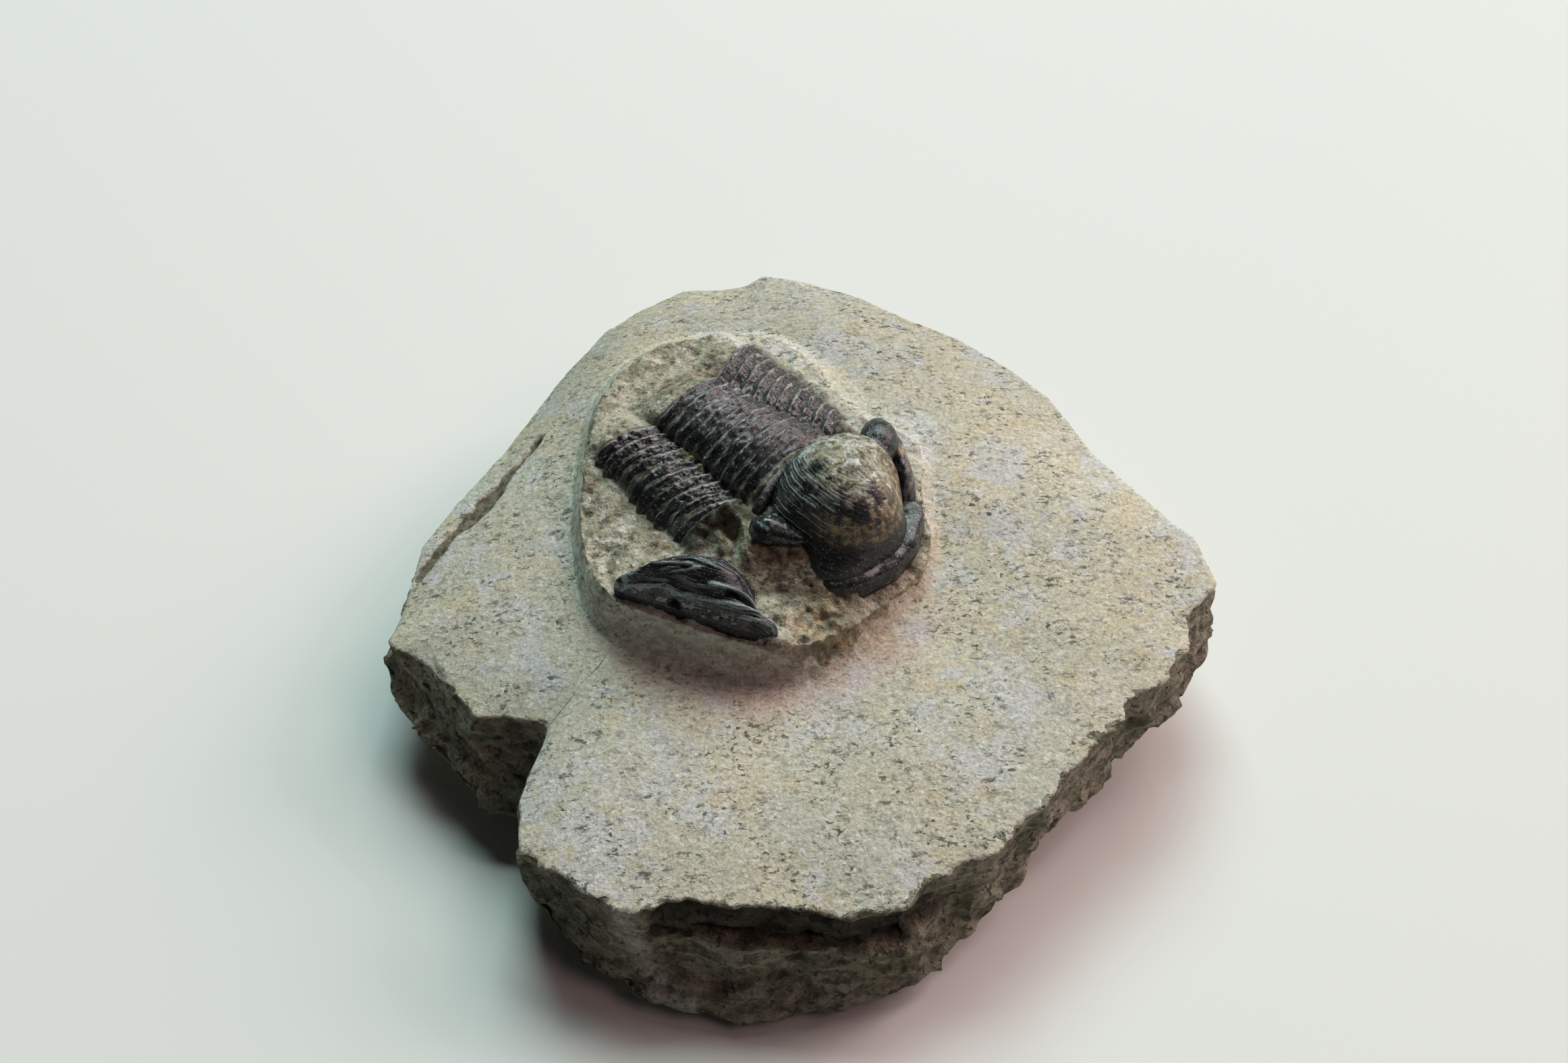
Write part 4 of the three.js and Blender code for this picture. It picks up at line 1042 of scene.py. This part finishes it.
# The free cheeks: stations as x, y, half width and ridge height, as in the CAD.
LEFT_CHEEK = [
    (-5.1, -13.1, 0.4, 13.9), (-4.2, -12.4, 1.0, 14.8), (-3.0, -11.3, 1.9, 15.8),
    (-1.4, -10.2, 2.5, 16.3), (0.1, -9.8, 2.2, 16.0), (1.4, -9.8, 1.4, 15.2),
    (2.7, -9.7, 0.8, 14.4), (4.0, -9.1, 0.5, 13.8),
]
LEFT_CHEEK_LEAN = (0.45, 0.9)
LEFT_CHEEK_FLOOR = 12.2
RIGHT_CHEEK = [
    (-2.5, 6.1, 0.4, 14.4), (-1.4, 6.0, 0.8, 15.4), (0.0, 5.7, 0.9, 15.9),
    (1.5, 5.0, 0.8, 15.2), (2.7, 4.3, 0.6, 14.3),
]
RIGHT_CHEEK_LEAN = (-0.3, -0.95)
RIGHT_CHEEK_FLOOR = 11.9
CHEEK_PROFILE = [(-1, 0.0), (-0.85, 0.45), (-0.4, 0.85), (0.1, 1.0), (0.6, 0.8), (1, 0.25)]
CHEEK_LIP = 0.9


def through(rows, count):
    """Values along a smooth curve through some rows, evenly by row."""
    rows = np.array(rows, float)
    rows = np.concatenate([2 * rows[:1] - rows[1:2], rows, 2 * rows[-1:] - rows[-2:-1]])
    at = np.linspace(0, len(rows) - 3, count)
    k = np.minimum(at.astype(int), len(rows) - 4)
    return curve_between([rows[k + j] for j in range(4)], (at - k)[:, None])


def row_lengths(rows, axis):
    """How far each point is along its row, measured over the points before it."""
    steps = np.diff(rows, axis=axis, prepend=np.take(rows, [0], axis))
    return np.linalg.norm(steps, axis=-1).cumsum(axis)


def free_cheek(node, stations, lean, floor, dress):
    station, profile = through(stations, CHEEK_STATIONS), through(CHEEK_PROFILE, CHEEK_STEPS)
    lean = np.array(lean) / np.hypot(*lean)
    part, rise = (np.broadcast_to(profile[:, k], (len(station), len(profile))) for k in range(2))
    end = np.linspace(-1, 1, len(station))[:, None]
    blunt = np.sqrt(np.clip(1 - np.clip((np.abs(end) - 0.88) / 0.12, 0, 1) ** 2, 0.02, 1))
    half = station[:, 2:3] * mix(0.15, 1, blunt)
    height = mix(floor + CHEEK_LIP, station[:, 3:4], rise) - 0.8 * (1 - blunt)
    sideways = (part * half)[..., None] * lean
    surface = np.concatenate([station[:, None, :2] + sideways, height[..., None]], -1)
    along = np.broadcast_to(row_lengths(station[:, :2], 0)[:, None], part.shape)
    push, marks = dress(surface.reshape(-1, 3), along.ravel(), row_lengths(surface, 1).ravel())
    normal = np.cross(np.gradient(surface, axis=1), np.gradient(surface, axis=0))
    normal = unit(normal * np.sign(normal[..., 2].mean()))
    shell_piece(node, surface + normal * push.reshape(part.shape)[..., None], floor, marks, 0.3)


# Lines on the left cheek, as millimetres along it from its rear corner and up from its lower edge.
MAIN_RIDGE = [(1.6, 0.6), (3.0, 0.95), (4.8, 1.7), (6.0, 1.5), (7.5, 1.75), (9.0, 2.0), (10.2, 1.6)]
STREAK_RIDGE = [(6.7, 2.95), (8.3, 3.2), (10.0, 3.1)]
HOLLOW = [(7.6, 2.5), (9.0, 2.65), (10.0, 2.5)]
BRIGHT_STRIP = [(8.9, 1.15), (10.9, 1.0)]
WRINKLES = [[(3.2, 3.3), (4.3, 3.6), (5.0, 3.9)], [(4.6, 2.9), (5.2, 3.3), (5.5, 3.8)]]
BROKEN_EDGE = [(2.6, 0.7), (4.2, 0.4), (6.5, 0.3), (8.5, 0.6)]
PIT = (5.8, 0.45)


def dress_left_cheek(p, along, up):
    """The relief and the marks of the slipped cheek, at places along it and up it."""
    ridge, streak = near_line(along, up, MAIN_RIDGE, 0.20), near_line(along, up, STREAK_RIDGE, 0.16)
    hollow, broken = near_line(along, up, HOLLOW, 0.22), near_line(along, up, BROKEN_EDGE, 0.35)
    wrinkles = sum(near_line(along, up, line, 0.10) for line in WRINKLES)
    pit = spot(along, up, PIT, 0.55)
    ridge_height = np.interp(along, *zip(*MAIN_RIDGE))
    below = 1 - ramp(up - ridge_height, -0.1, 0.2)
    lines = fine_lines((up - ridge_height) / 0.26 + 0.3 * noise(p, 1.5, 70), along, 71, 0.2, -0.1, 1.2)
    lines *= ramp(along, 2.0, 4.0)
    folds = (up - 0.8 * ridge_height) / 0.55 + 0.4 * noise(p, 1.8, 76)
    folds = fine_lines(folds, along, 77, 0.26, 0.05, 1.8)
    blotches = layered(p, 0.5, 75, 3)
    push = 0.16 * ridge + 0.20 * streak - 0.40 * hollow - 0.55 * pit + 0.10 * wrinkles
    push += broken * (0.16 * blotches - 0.06) + 0.05 * lines * mix(0.5, 1.0, below)
    push += 0.07 * folds * (1 - below) + 0.05 * noise(p, 0.9, 72) + 0.014 * noise(p, 0.25, 73)

    # The whitish rear tip and the broken lumps are wear. The main ridge, the streak ridge, the folds
    # above the ridge and the bright strip carry painted highlights, and the band below the ridge a
    # painted sheen; the hollow, the pit and the lower edge are kept black as painted shade.
    tip = 1 - ramp(along + 0.4 * blotches, 1.2, 2.6)
    worn = 1.1 * tip * ramp(blotches, -0.5, 0.1) + 0.9 * streak + 0.7 * ridge + 0.7 * wrinkles
    band = ramp(up + 0.2 * blotches, 0.3, 0.8) * ramp(along, 2.5, 3.5) * below
    speckle = 0.35 * layered(p, 0.2, 79, 2) + 0.2 * noise(p, 1.6, 78)
    worn += band * (0.24 + 0.40 * lines + 0.2 * blotches + speckle)
    worn += 1.5 * near_line(along, up, BRIGHT_STRIP, 0.15) + 1.2 * broken * ramp(blotches, -0.1, 0.3)
    worn += (1 - below) * (0.15 + 0.45 * folds) * ramp(along, 1.0, 2.5)
    worn -= 1.5 * pit + hollow + 0.5 * (1 - ramp(up, 0.0, 0.25))
    return push, grain_marks(
        along, up - ridge_height, worn=worn, amber=0 * worn, tint=0.85 - 0.35 * broken - 0.4 * wrinkles,
        dust=0.35 * ramp(up, 4.0, 5.0) * ramp(blotches, 0.1, 0.5),
        gloss=0.5 * (1 - below) + 0.8 * near_line(along, up, BRIGHT_STRIP, 0.4),
    )


def dress_right_cheek(p, along, up):
    """The relief and the marks of the narrow strip beside the right eye."""
    push = 0.04 * noise(p, 0.8, 80) + 0.012 * noise(p, 0.3, 81)
    amber = ramp(noise(p, 1.0, 82), -0.5, 0.2) * (1 - ramp(along, 3.6, 4.2))
    worn = 0.2 + 0.45 * ramp(noise(p, 0.5, 83), -0.2, 0.4)
    plain = np.full(len(worn), 0.4)
    return push, grain_marks(along, up, worn=worn, amber=amber, dust=0 * worn, gloss=plain, tint=plain)


# Materials.
class Shade:
    """One material's nodes, made by short calls. The sizes of patterns are in millimetres."""

    def __init__(self, name):
        self.material = bpy.data.materials.new(name)
        self.material.use_nodes = True
        self.tree = self.material.node_tree
        self.surface = self.tree.nodes["Principled BSDF"]
        self.place = self.node("ShaderNodeTexCoord").outputs["Object"]

    def feed(self, socket, value):
        if isinstance(value, bpy.types.NodeSocket):
            self.tree.links.new(value, socket)
        else:
            socket.default_value = value

    def node(self, kind, inputs=None, **settings):
        made = self.tree.nodes.new(kind)
        for key, value in settings.items():
            setattr(made, key, value)
        for key, value in (inputs or {}).items():
            self.feed(made.inputs[key], value)
        return made

    def mark(self, name):
        """A mark that the mesh carries at its points."""
        return self.node("ShaderNodeAttribute", attribute_name=name).outputs["Fac"]

    def noise(self, size, detail=2, roughness=0.5, stretch=(1, 1, 1), warp=0.0):
        place = self.place
        if stretch != (1, 1, 1):
            place = self.node("ShaderNodeMapping", {"Vector": place, "Scale": stretch}).outputs[0]
        inputs = {"Vector": place, "Scale": 1000 / size, "Detail": detail, "Roughness": roughness}
        return self.node("ShaderNodeTexNoise", {**inputs, "Distortion": warp}).outputs["Fac"]

    def streaks(self, run, across):
        """Noise drawn out along a form, by the places along and across it that the mesh carries."""
        along = self.times(self.mark("run"), GRAIN_SPAN / run)
        aside = self.times(self.mark("cross"), GRAIN_SPAN / across)
        place = self.node("ShaderNodeCombineXYZ", {0: along, 1: aside}).outputs[0]
        inputs = {"Vector": place, "Scale": 1.0, "Detail": 3, "Roughness": 0.6}
        return self.node("ShaderNodeTexNoise", inputs).outputs["Fac"]

    def ramp(self, value, low, high, start=0.0, end=1.0):
        inputs = {"Value": value, "From Min": low, "From Max": high, "To Min": start, "To Max": end}
        return self.node("ShaderNodeMapRange", inputs, interpolation_type="SMOOTHSTEP").outputs[0]

    def math(self, operation, first, *others):
        """A sum, a product or the like, value after value."""
        for other in others:
            first = self.node("ShaderNodeMath", {0: first, 1: other}, operation=operation).outputs[0]
        return first

    def times(self, *values):
        return self.math("MULTIPLY", *values)

    def plus(self, *values):
        return self.math("ADD", *values)

    def centred(self, value, strength=1.0):
        """A noise or a mark moved to run evenly above and below zero."""
        return self.times(self.math("SUBTRACT", value, 0.5), strength)

    def blend(self, share, a, b, mode="MIX"):
        made = self.node("ShaderNodeMix", data_type="RGBA", blend_type=mode)
        for socket, value in ((made.inputs[0], share), (made.inputs[6], a), (made.inputs[7], b)):
            self.feed(socket, (*value, 1.0) if isinstance(value, tuple) else value)
        return made.outputs[2]

    def turn(self, value, low, high, a, b):
        """A colour that turns from one into another as a value rises."""
        return self.blend(self.ramp(value, low, high), a, b)

    def cover(self, colour, value, low, high, strength, paint):
        """A colour with a paint over it where a value is high."""
        return self.blend(self.times(self.ramp(value, low, high), strength), colour, paint)

    def shaded(self, colour, shade):
        """A colour times a brightness."""
        tone = self.node("ShaderNodeCombineColor", {0: shade, 1: shade, 2: shade}).outputs[0]
        return self.blend(1.0, colour, tone, "MULTIPLY")

    def level(self, share, a, b):
        """A number between two, by a share."""
        return self.node("ShaderNodeMix", {0: share, 2: a, 3: b}, data_type="FLOAT").outputs[0]

    def bump(self, height, depth, normal=None):
        """Bumps whose height runs from 0 to a depth in millimetres."""
        inputs = {"Height": height, "Distance": depth * MM, "Strength": 1.0}
        if normal is not None:
            inputs["Normal"] = normal
        return self.node("ShaderNodeBump", inputs).outputs[0]

    def finished(self, colour, roughness, specular, normal):
        """The material with its surface's inputs set."""
        self.feed(self.surface.inputs["Base Color"], colour)
        self.feed(self.surface.inputs["Roughness"], roughness)
        self.surface.inputs["Specular IOR Level"].default_value = specular
        self.feed(self.surface.inputs["Normal"], normal)
        return self.material


# Limestone colours. The prepared face is greenish beige with lilac and ochre patches, pale flecks
# and dark specks; the broken sides are raw brown and olive rock; the rock round the fossil is
# creamy and pitted, and brown in places.
FACE_BEIGE, FACE_GREEN = (0.60, 0.55, 0.41), (0.54, 0.53, 0.43)
FACE_LILAC, FACE_OCHRE, FACE_FLECK = (0.58, 0.58, 0.56), (0.58, 0.47, 0.28), (0.74, 0.73, 0.66)
FACE_MOTTLE, FACE_SPECK = (0.23, 0.24, 0.19), (0.085, 0.09, 0.08)
BROKEN_DARK, BROKEN_PALE = (0.18, 0.17, 0.115), (0.48, 0.45, 0.33)
BROKEN_HOLE, BROKEN_GRAIN = (0.11, 0.105, 0.075), (0.44, 0.41, 0.34)
ROCK_DARK, ROCK_PALE, ROCK_LUMP = (0.30, 0.28, 0.19), (0.52, 0.49, 0.38), (0.62, 0.60, 0.53)
ROCK_SHADE, ROCK_HOLE = (0.20, 0.18, 0.11), (0.12, 0.10, 0.065)
BROWN_DARK, BROWN_PALE, OLIVE = (0.12, 0.095, 0.07), (0.44, 0.35, 0.255), (0.28, 0.275, 0.16)
BED_BLACK_AND_PAINTED_SHADE, BED_PALE = (0.03, 0.03, 0.02), (0.16, 0.155, 0.12)
WALL_GREY, WALL_PALE, WALL_SPECK = (0.47, 0.47, 0.38), (0.70, 0.70, 0.61), (0.12, 0.12, 0.09)
RECESS_PAINTED_SHADE_DARK, RECESS_PAINTED_SHADE_PALE, CRACK_DARK = (0.07, 0.065, 0.045), (0.22, 0.205, 0.145), (0.10, 0.10, 0.08)
SCUFF, RUST, PAINTED_SHADOW_PINK = (0.68, 0.66, 0.61), (0.56, 0.36, 0.15), (0.60, 0.44, 0.42)
DEEPEST_SHADE = 0.15


def prepared_face(s):
    """The ground face's colour, and its dark specks, which the pedestal's wall has too."""
    colour = s.turn(s.noise(8, 3), 0.38, 0.62, FACE_BEIGE, FACE_GREEN)
    colour = s.cover(colour, s.noise(3.6, 5, 0.7), 0.50, 0.60, 0.9, FACE_LILAC)
    colour = s.cover(colour, s.noise(2.4, 5, 0.7), 0.52, 0.66, 0.5, FACE_OCHRE)
    colour = s.cover(colour, s.noise(0.45, 4, 0.7, (1.0, 1.6, 1.0)), 0.53, 0.62, 0.7, FACE_FLECK)
    crowd = s.ramp(s.noise(2.8, 4, 0.6), 0.40, 0.60)
    mottle = s.noise(0.6, 5, 0.75, (1.0, 1.5, 1.0), 0.4)
    colour = s.cover(colour, mottle, 0.52, 0.63, s.level(crowd, 0.38, 0.90), FACE_MOTTLE)
    dashes = s.ramp(s.noise(0.75, 5, 0.75, (0.8, 1.7, 1.0)), 0.575, 0.625)
    specks = s.ramp(s.noise(0.40, 2, 0.55, (0.9, 1.4, 1.0), 0.5), 0.615, 0.665)
    specks = s.times(s.math("MAXIMUM", dashes, specks), s.level(crowd, 0.35, 1.0))
    return s.blend(s.times(specks, 0.92), colour, FACE_SPECK), specks


def broken_rock(s, crag, small):
    colour = s.turn(crag, 0.38, 0.60, BROKEN_DARK, BROKEN_PALE)
    colour = s.cover(colour, small, 0.54, 0.66, 1.0, BROKEN_HOLE)
    return s.cover(colour, s.noise(0.4, 3, 0.6), 0.58, 0.7, 0.5, BROKEN_GRAIN)


def worked_rock(s, medium, small):
    """The rock round the fossil, worked with finer tools."""
    colour = s.turn(medium, 0.36, 0.62, ROCK_DARK, ROCK_PALE)
    colour = s.cover(colour, s.noise(3.2, 4, 0.6), 0.50, 0.64, 0.5, ROCK_SHADE)
    colour = s.cover(colour, small, 0.52, 0.66, 0.8, ROCK_HOLE)
    lumpy = s.level(s.mark("lumps"), 0.5, 1.0)
    colour = s.cover(colour, s.noise(0.7, 3, 0.6), 0.52, 0.66, lumpy, ROCK_LUMP)
    brown = s.turn(small, 0.38, 0.62, BROWN_DARK, BROWN_PALE)
    colour = s.cover(colour, s.plus(s.mark("brown"), s.centred(medium, 1.4)), 0.25, 0.7, 1.0, brown)
    return s.blend(s.times(s.mark("olive"), s.ramp(small, 0.3, 0.6, 0.4, 1.0)), colour, OLIVE)


@cache
def limestone_material():
    s = Shade("limestone_rock")
    medium, small = s.noise(1.5, 3), s.noise(0.5, 3, 0.6)
    grain, dust = s.noise(0.22, 3, 0.65), s.noise(0.09, 2)
    crag = s.noise(1.3, 6, 0.72, (0.8, 0.8, 1.7))
    uneven = s.plus(s.centred(medium, 0.35), s.centred(small, 0.30))

    # The kinds of rock, each over the one before.
    colour, specks = prepared_face(s)
    wall = s.turn(s.noise(0.9, 4, 0.65, (1, 1, 2.4)), 0.35, 0.65, WALL_GREY, WALL_PALE)
    wall = s.blend(s.times(specks, 0.8), wall, WALL_SPECK)
    colour = s.cover(colour, s.plus(s.mark("wall"), uneven), 0.3, 0.7, 1.0, wall)
    is_bare = s.ramp(s.plus(s.mark("bare"), uneven), 0.35, 0.65)
    colour = s.blend(is_bare, colour, worked_rock(s, medium, small))
    # Dark rock under the thorax: painted shade between the segments, and the buried rib's shell.
    colour = s.blend(s.mark("bed"), colour, s.turn(small, 0.4, 0.65, BED_BLACK_AND_PAINTED_SHADE, BED_PALE))
    bites = s.centred(s.noise(1.5, 6, 0.7), 1.1)
    is_broken = s.ramp(s.plus(s.mark("rim_distance"), bites), 0.47, 0.50, 1.0, 0.0)
    colour = s.blend(is_broken, colour, broken_rock(s, crag, small))

    # The bite at the left edge, the hairline crack, scuffs, stains, a painted pinkish shadow at the
    # pedestal's foot in front, and painted shade.
    # The bite's broken rock, darkened as painted shade in its hollow.
    recess = s.plus(s.mark("recess"), s.times(uneven, 0.35))
    colour = s.cover(colour, recess, 0.49, 0.52, 1.0, s.turn(small, 0.35, 0.6, RECESS_PAINTED_SHADE_DARK, RECESS_PAINTED_SHADE_PALE))
    crack = s.math("ABSOLUTE", s.centred(s.mark("crack")), 0.0)
    crack = s.times(s.ramp(crack, 0.002, 0.009, 1.0, 0.0), s.mark("crack_along"))
    crack = s.times(crack, s.ramp(medium, 0.35, 0.55, 0.3, 1.0), 0.8)
    colour = s.blend(crack, colour, CRACK_DARK)
    pale = s.mark("pale")
    colour = s.cover(colour, s.plus(small, s.times(pale, 0.2)), 0.50, 0.72, s.times(pale, 0.75), SCUFF)
    stain = s.times(s.mark("stain"), s.ramp(medium, 0.35, 0.6), 0.8)
    colour = s.cover(colour, small, 0.3, 0.6, stain, RUST)
    # A pinkish painted shadow at the pedestal's foot in front.
    colour = s.blend(s.times(s.mark("painted_shadow_tint"), 0.35), colour, PAINTED_SHADOW_PINK)
    # Brighter and darker grains, and painted shade where the darkening mark is high.
    shade = s.times(s.ramp(grain, 0.3, 0.7, 0.80, 1.16), s.ramp(dust, 0.3, 0.7, 0.94, 1.05))
    colour = s.shaded(colour, s.times(shade, s.level(s.mark("darkening_and_painted_shade"), 1.0, DEEPEST_SHADE)))

    raw = s.plus(is_broken, s.times(is_bare, 0.4))
    normal = s.bump(s.times(s.centred(crag), raw), 1.0)
    normal = s.bump(s.times(small, s.plus(is_broken, is_bare, 0.35)), 0.16, normal)
    normal = s.bump(s.times(grain, s.level(is_broken, 0.8, 1.3)), 0.07, normal)
    return s.finished(colour, s.ramp(small, 0.3, 0.7, 0.78, 0.95), 0.3, normal)


# Calcite colours: black shell, amber where it is thin, wear and painted highlights from warm grey
# through lilac to blue-grey, a marbled glabella, painted sparkles, and rock dust in the furrows.
SHELL_BLACK, SHELL_GREY = (0.012, 0.015, 0.016), (0.052, 0.058, 0.055)
AMBER_DARK, AMBER_PALE = (0.11, 0.075, 0.04), (0.46, 0.36, 0.19)
WEAR_AND_HIGHLIGHT_WARM, WEAR_AND_HIGHLIGHT_LILAC, WEAR_AND_HIGHLIGHT_BLUE = (0.36, 0.375, 0.31), (0.32, 0.305, 0.315), (0.27, 0.34, 0.35)
MARBLE_DARK, MARBLE_TAN, MARBLE_PALE = (0.09, 0.08, 0.055), (0.34, 0.315, 0.21), (0.50, 0.55, 0.52)
PAINTED_SPARKLE = (0.50, 0.50, 0.48)
DUST_OLIVE, DUST_PALE = (0.20, 0.19, 0.10), (0.40, 0.37, 0.26)


def worn_shell(s, grain):
    """The colour of worn places and of painted highlights, by their tint, and marbled on the glabella."""
    tint, swirl = s.mark("tint"), s.noise(0.9, 4, 0.68, (1, 1, 1), 1.5)
    colour = s.turn(tint, 0.1, 0.5, WEAR_AND_HIGHLIGHT_WARM, WEAR_AND_HIGHLIGHT_LILAC)
    colour = s.turn(tint, 0.5, 0.9, colour, WEAR_AND_HIGHLIGHT_BLUE)
    marbled = s.turn(swirl, 0.38, 0.50, MARBLE_DARK, MARBLE_TAN)
    marbled = s.turn(swirl, 0.51, 0.59, marbled, MARBLE_PALE)
    return s.shaded(s.blend(s.mark("marble"), colour, marbled), s.ramp(grain, 0.35, 0.68, 0.75, 1.35))


@cache
def calcite_material():
    s = Shade("black_calcite")
    medium, small, grain = s.noise(1.1, 3, 0.6), s.noise(0.32, 3, 0.6), s.noise(0.10, 2, 0.6)
    fibre, gloss = s.streaks(0.9, 0.15), s.mark("gloss")
    colour = s.turn(fibre, 0.42, 0.68, SHELL_BLACK, SHELL_GREY)
    amber = s.turn(s.noise(0.55, 4, 0.7), 0.38, 0.60, AMBER_DARK, AMBER_PALE)
    colour = s.blend(s.times(s.mark("amber"), s.ramp(small, 0.30, 0.60, 0.25, 1.0)), colour, amber)
    drawn = s.centred(fibre, s.level(s.mark("marble"), 1.4, 0.6))
    # Grey where the shell is worn and where highlights are painted on.
    worn = s.ramp(s.plus(s.mark("worn"), s.centred(small, 0.7), drawn), 0.25, 0.90)
    colour = s.blend(worn, colour, worn_shell(s, grain))
    # Bright specks over the shell: painted sparkle highlights.
    colour = s.cover(colour, s.noise(0.13, 1), 0.66, 0.74, 0.7, PAINTED_SPARKLE)
    dust = s.ramp(s.plus(s.mark("dust"), s.centred(small)), 0.35, 0.75)
    colour = s.blend(dust, colour, s.turn(medium, 0.4, 0.6, DUST_OLIVE, DUST_PALE))

    dull = s.math("MAXIMUM", worn, dust)
    polish = s.level(gloss, s.ramp(small, 0.35, 0.7, 0.22, 0.42), 0.20)
    normal = s.bump(s.times(small, s.level(dull, 0.35, 1.2)), 0.05)
    normal = s.bump(s.times(fibre, s.level(gloss, 1.0, 0.3)), 0.035, normal)
    normal = s.bump(s.times(grain, s.level(gloss, 1.0, 0.35)), 0.018, normal)
    return s.finished(colour, s.level(dull, polish, 0.75), 0.5, normal)


def floor_material():
    s = Shade("pale_floor")
    s.surface.inputs["Base Color"].default_value = (0.76, 0.775, 0.74, 1)
    s.surface.inputs["Roughness"].default_value = 0.65
    return s.material


# The scene.
CAMERA_ELEVATION = math.radians(50)
CAMERA_TARGET = Vector((-1.0, 2.7, 10.8)) * MM
CAMERA_DISTANCE = 135 * MM
FIELD_OF_VIEW = math.radians(40)


def camera():
    data = bpy.data.cameras.new("camera")
    data.sensor_width = 36
    data.lens = data.sensor_width / 2 / math.tan(FIELD_OF_VIEW / 2)
    data.clip_start = 0.001
    seen_from = bpy.data.objects.new("camera", data)
    back = Vector((0, -math.cos(CAMERA_ELEVATION), math.sin(CAMERA_ELEVATION)))
    seen_from.location = CAMERA_TARGET + back * CAMERA_DISTANCE
    seen_from.rotation_euler = (math.pi / 2 - CAMERA_ELEVATION, 0, 0)
    bpy.context.scene.collection.objects.link(seen_from)
    bpy.context.scene.camera = seen_from


LAMP_DISTANCE = 1500 * MM
LAMP_SIZE = 700 * MM
FLOOR_HALF_WIDTH = 900.0


def softbox(name, azimuth, elevation, power, colour):
    data = bpy.data.lights.new(name, "AREA")
    data.size = LAMP_SIZE
    data.energy = power
    data.color = colour
    lamp = bpy.data.objects.new(name, data)
    azimuth, elevation = math.radians(azimuth), math.radians(elevation)
    flat = math.cos(elevation)
    lamp.location = (math.cos(azimuth) * flat, math.sin(azimuth) * flat, math.sin(elevation))
    lamp.location *= LAMP_DISTANCE
    lamp.rotation_euler = (Vector((0, 0, 0.01)) - lamp.location).to_track_quat("-Z", "Y").to_euler()
    lamp.visible_camera = False
    bpy.context.scene.collection.objects.link(lamp)


def studio():
    softbox("back_softbox", 92, 50, 15.2, (0.74, 1.0, 0.98))
    softbox("right_softbox", 50, 50, 7.6, (1.0, 0.87, 0.84))
    softbox("low_right_softbox", 30, 28, 12.0, (1.0, 0.75, 0.75))
    softbox("right_fill", 340, 50, 2.6, (1.0, 0.65, 0.66))
    world = bpy.data.worlds.new("studio")
    world.use_nodes = True
    sky = world.node_tree.nodes["Background"]
    sky.inputs["Color"].default_value = (0.9, 0.93, 0.92, 1)
    sky.inputs["Strength"].default_value = 0.015
    bpy.context.scene.world = world
    bpy.context.scene.view_settings.view_transform = "Standard"
    corners = np.array([(-1, -1, 0), (1, -1, 0), (1, 1, 0), (-1, 1, 0)]) * FLOOR_HALF_WIDTH
    floor = make_piece("floor", corners, np.array([[0, 1, 2, 3]]))
    floor.data.materials.append(floor_material())


camera()
studio()
matrix_stone()
cranidium()
free_cheek("left_free_cheek", LEFT_CHEEK, LEFT_CHEEK_LEAN, LEFT_CHEEK_FLOOR, dress_left_cheek)
free_cheek("right_free_cheek", RIGHT_CHEEK, RIGHT_CHEEK_LEAN, RIGHT_CHEEK_FLOOR, dress_right_cheek)
for number in range(SEGMENTS):
    thorax_segment(number)
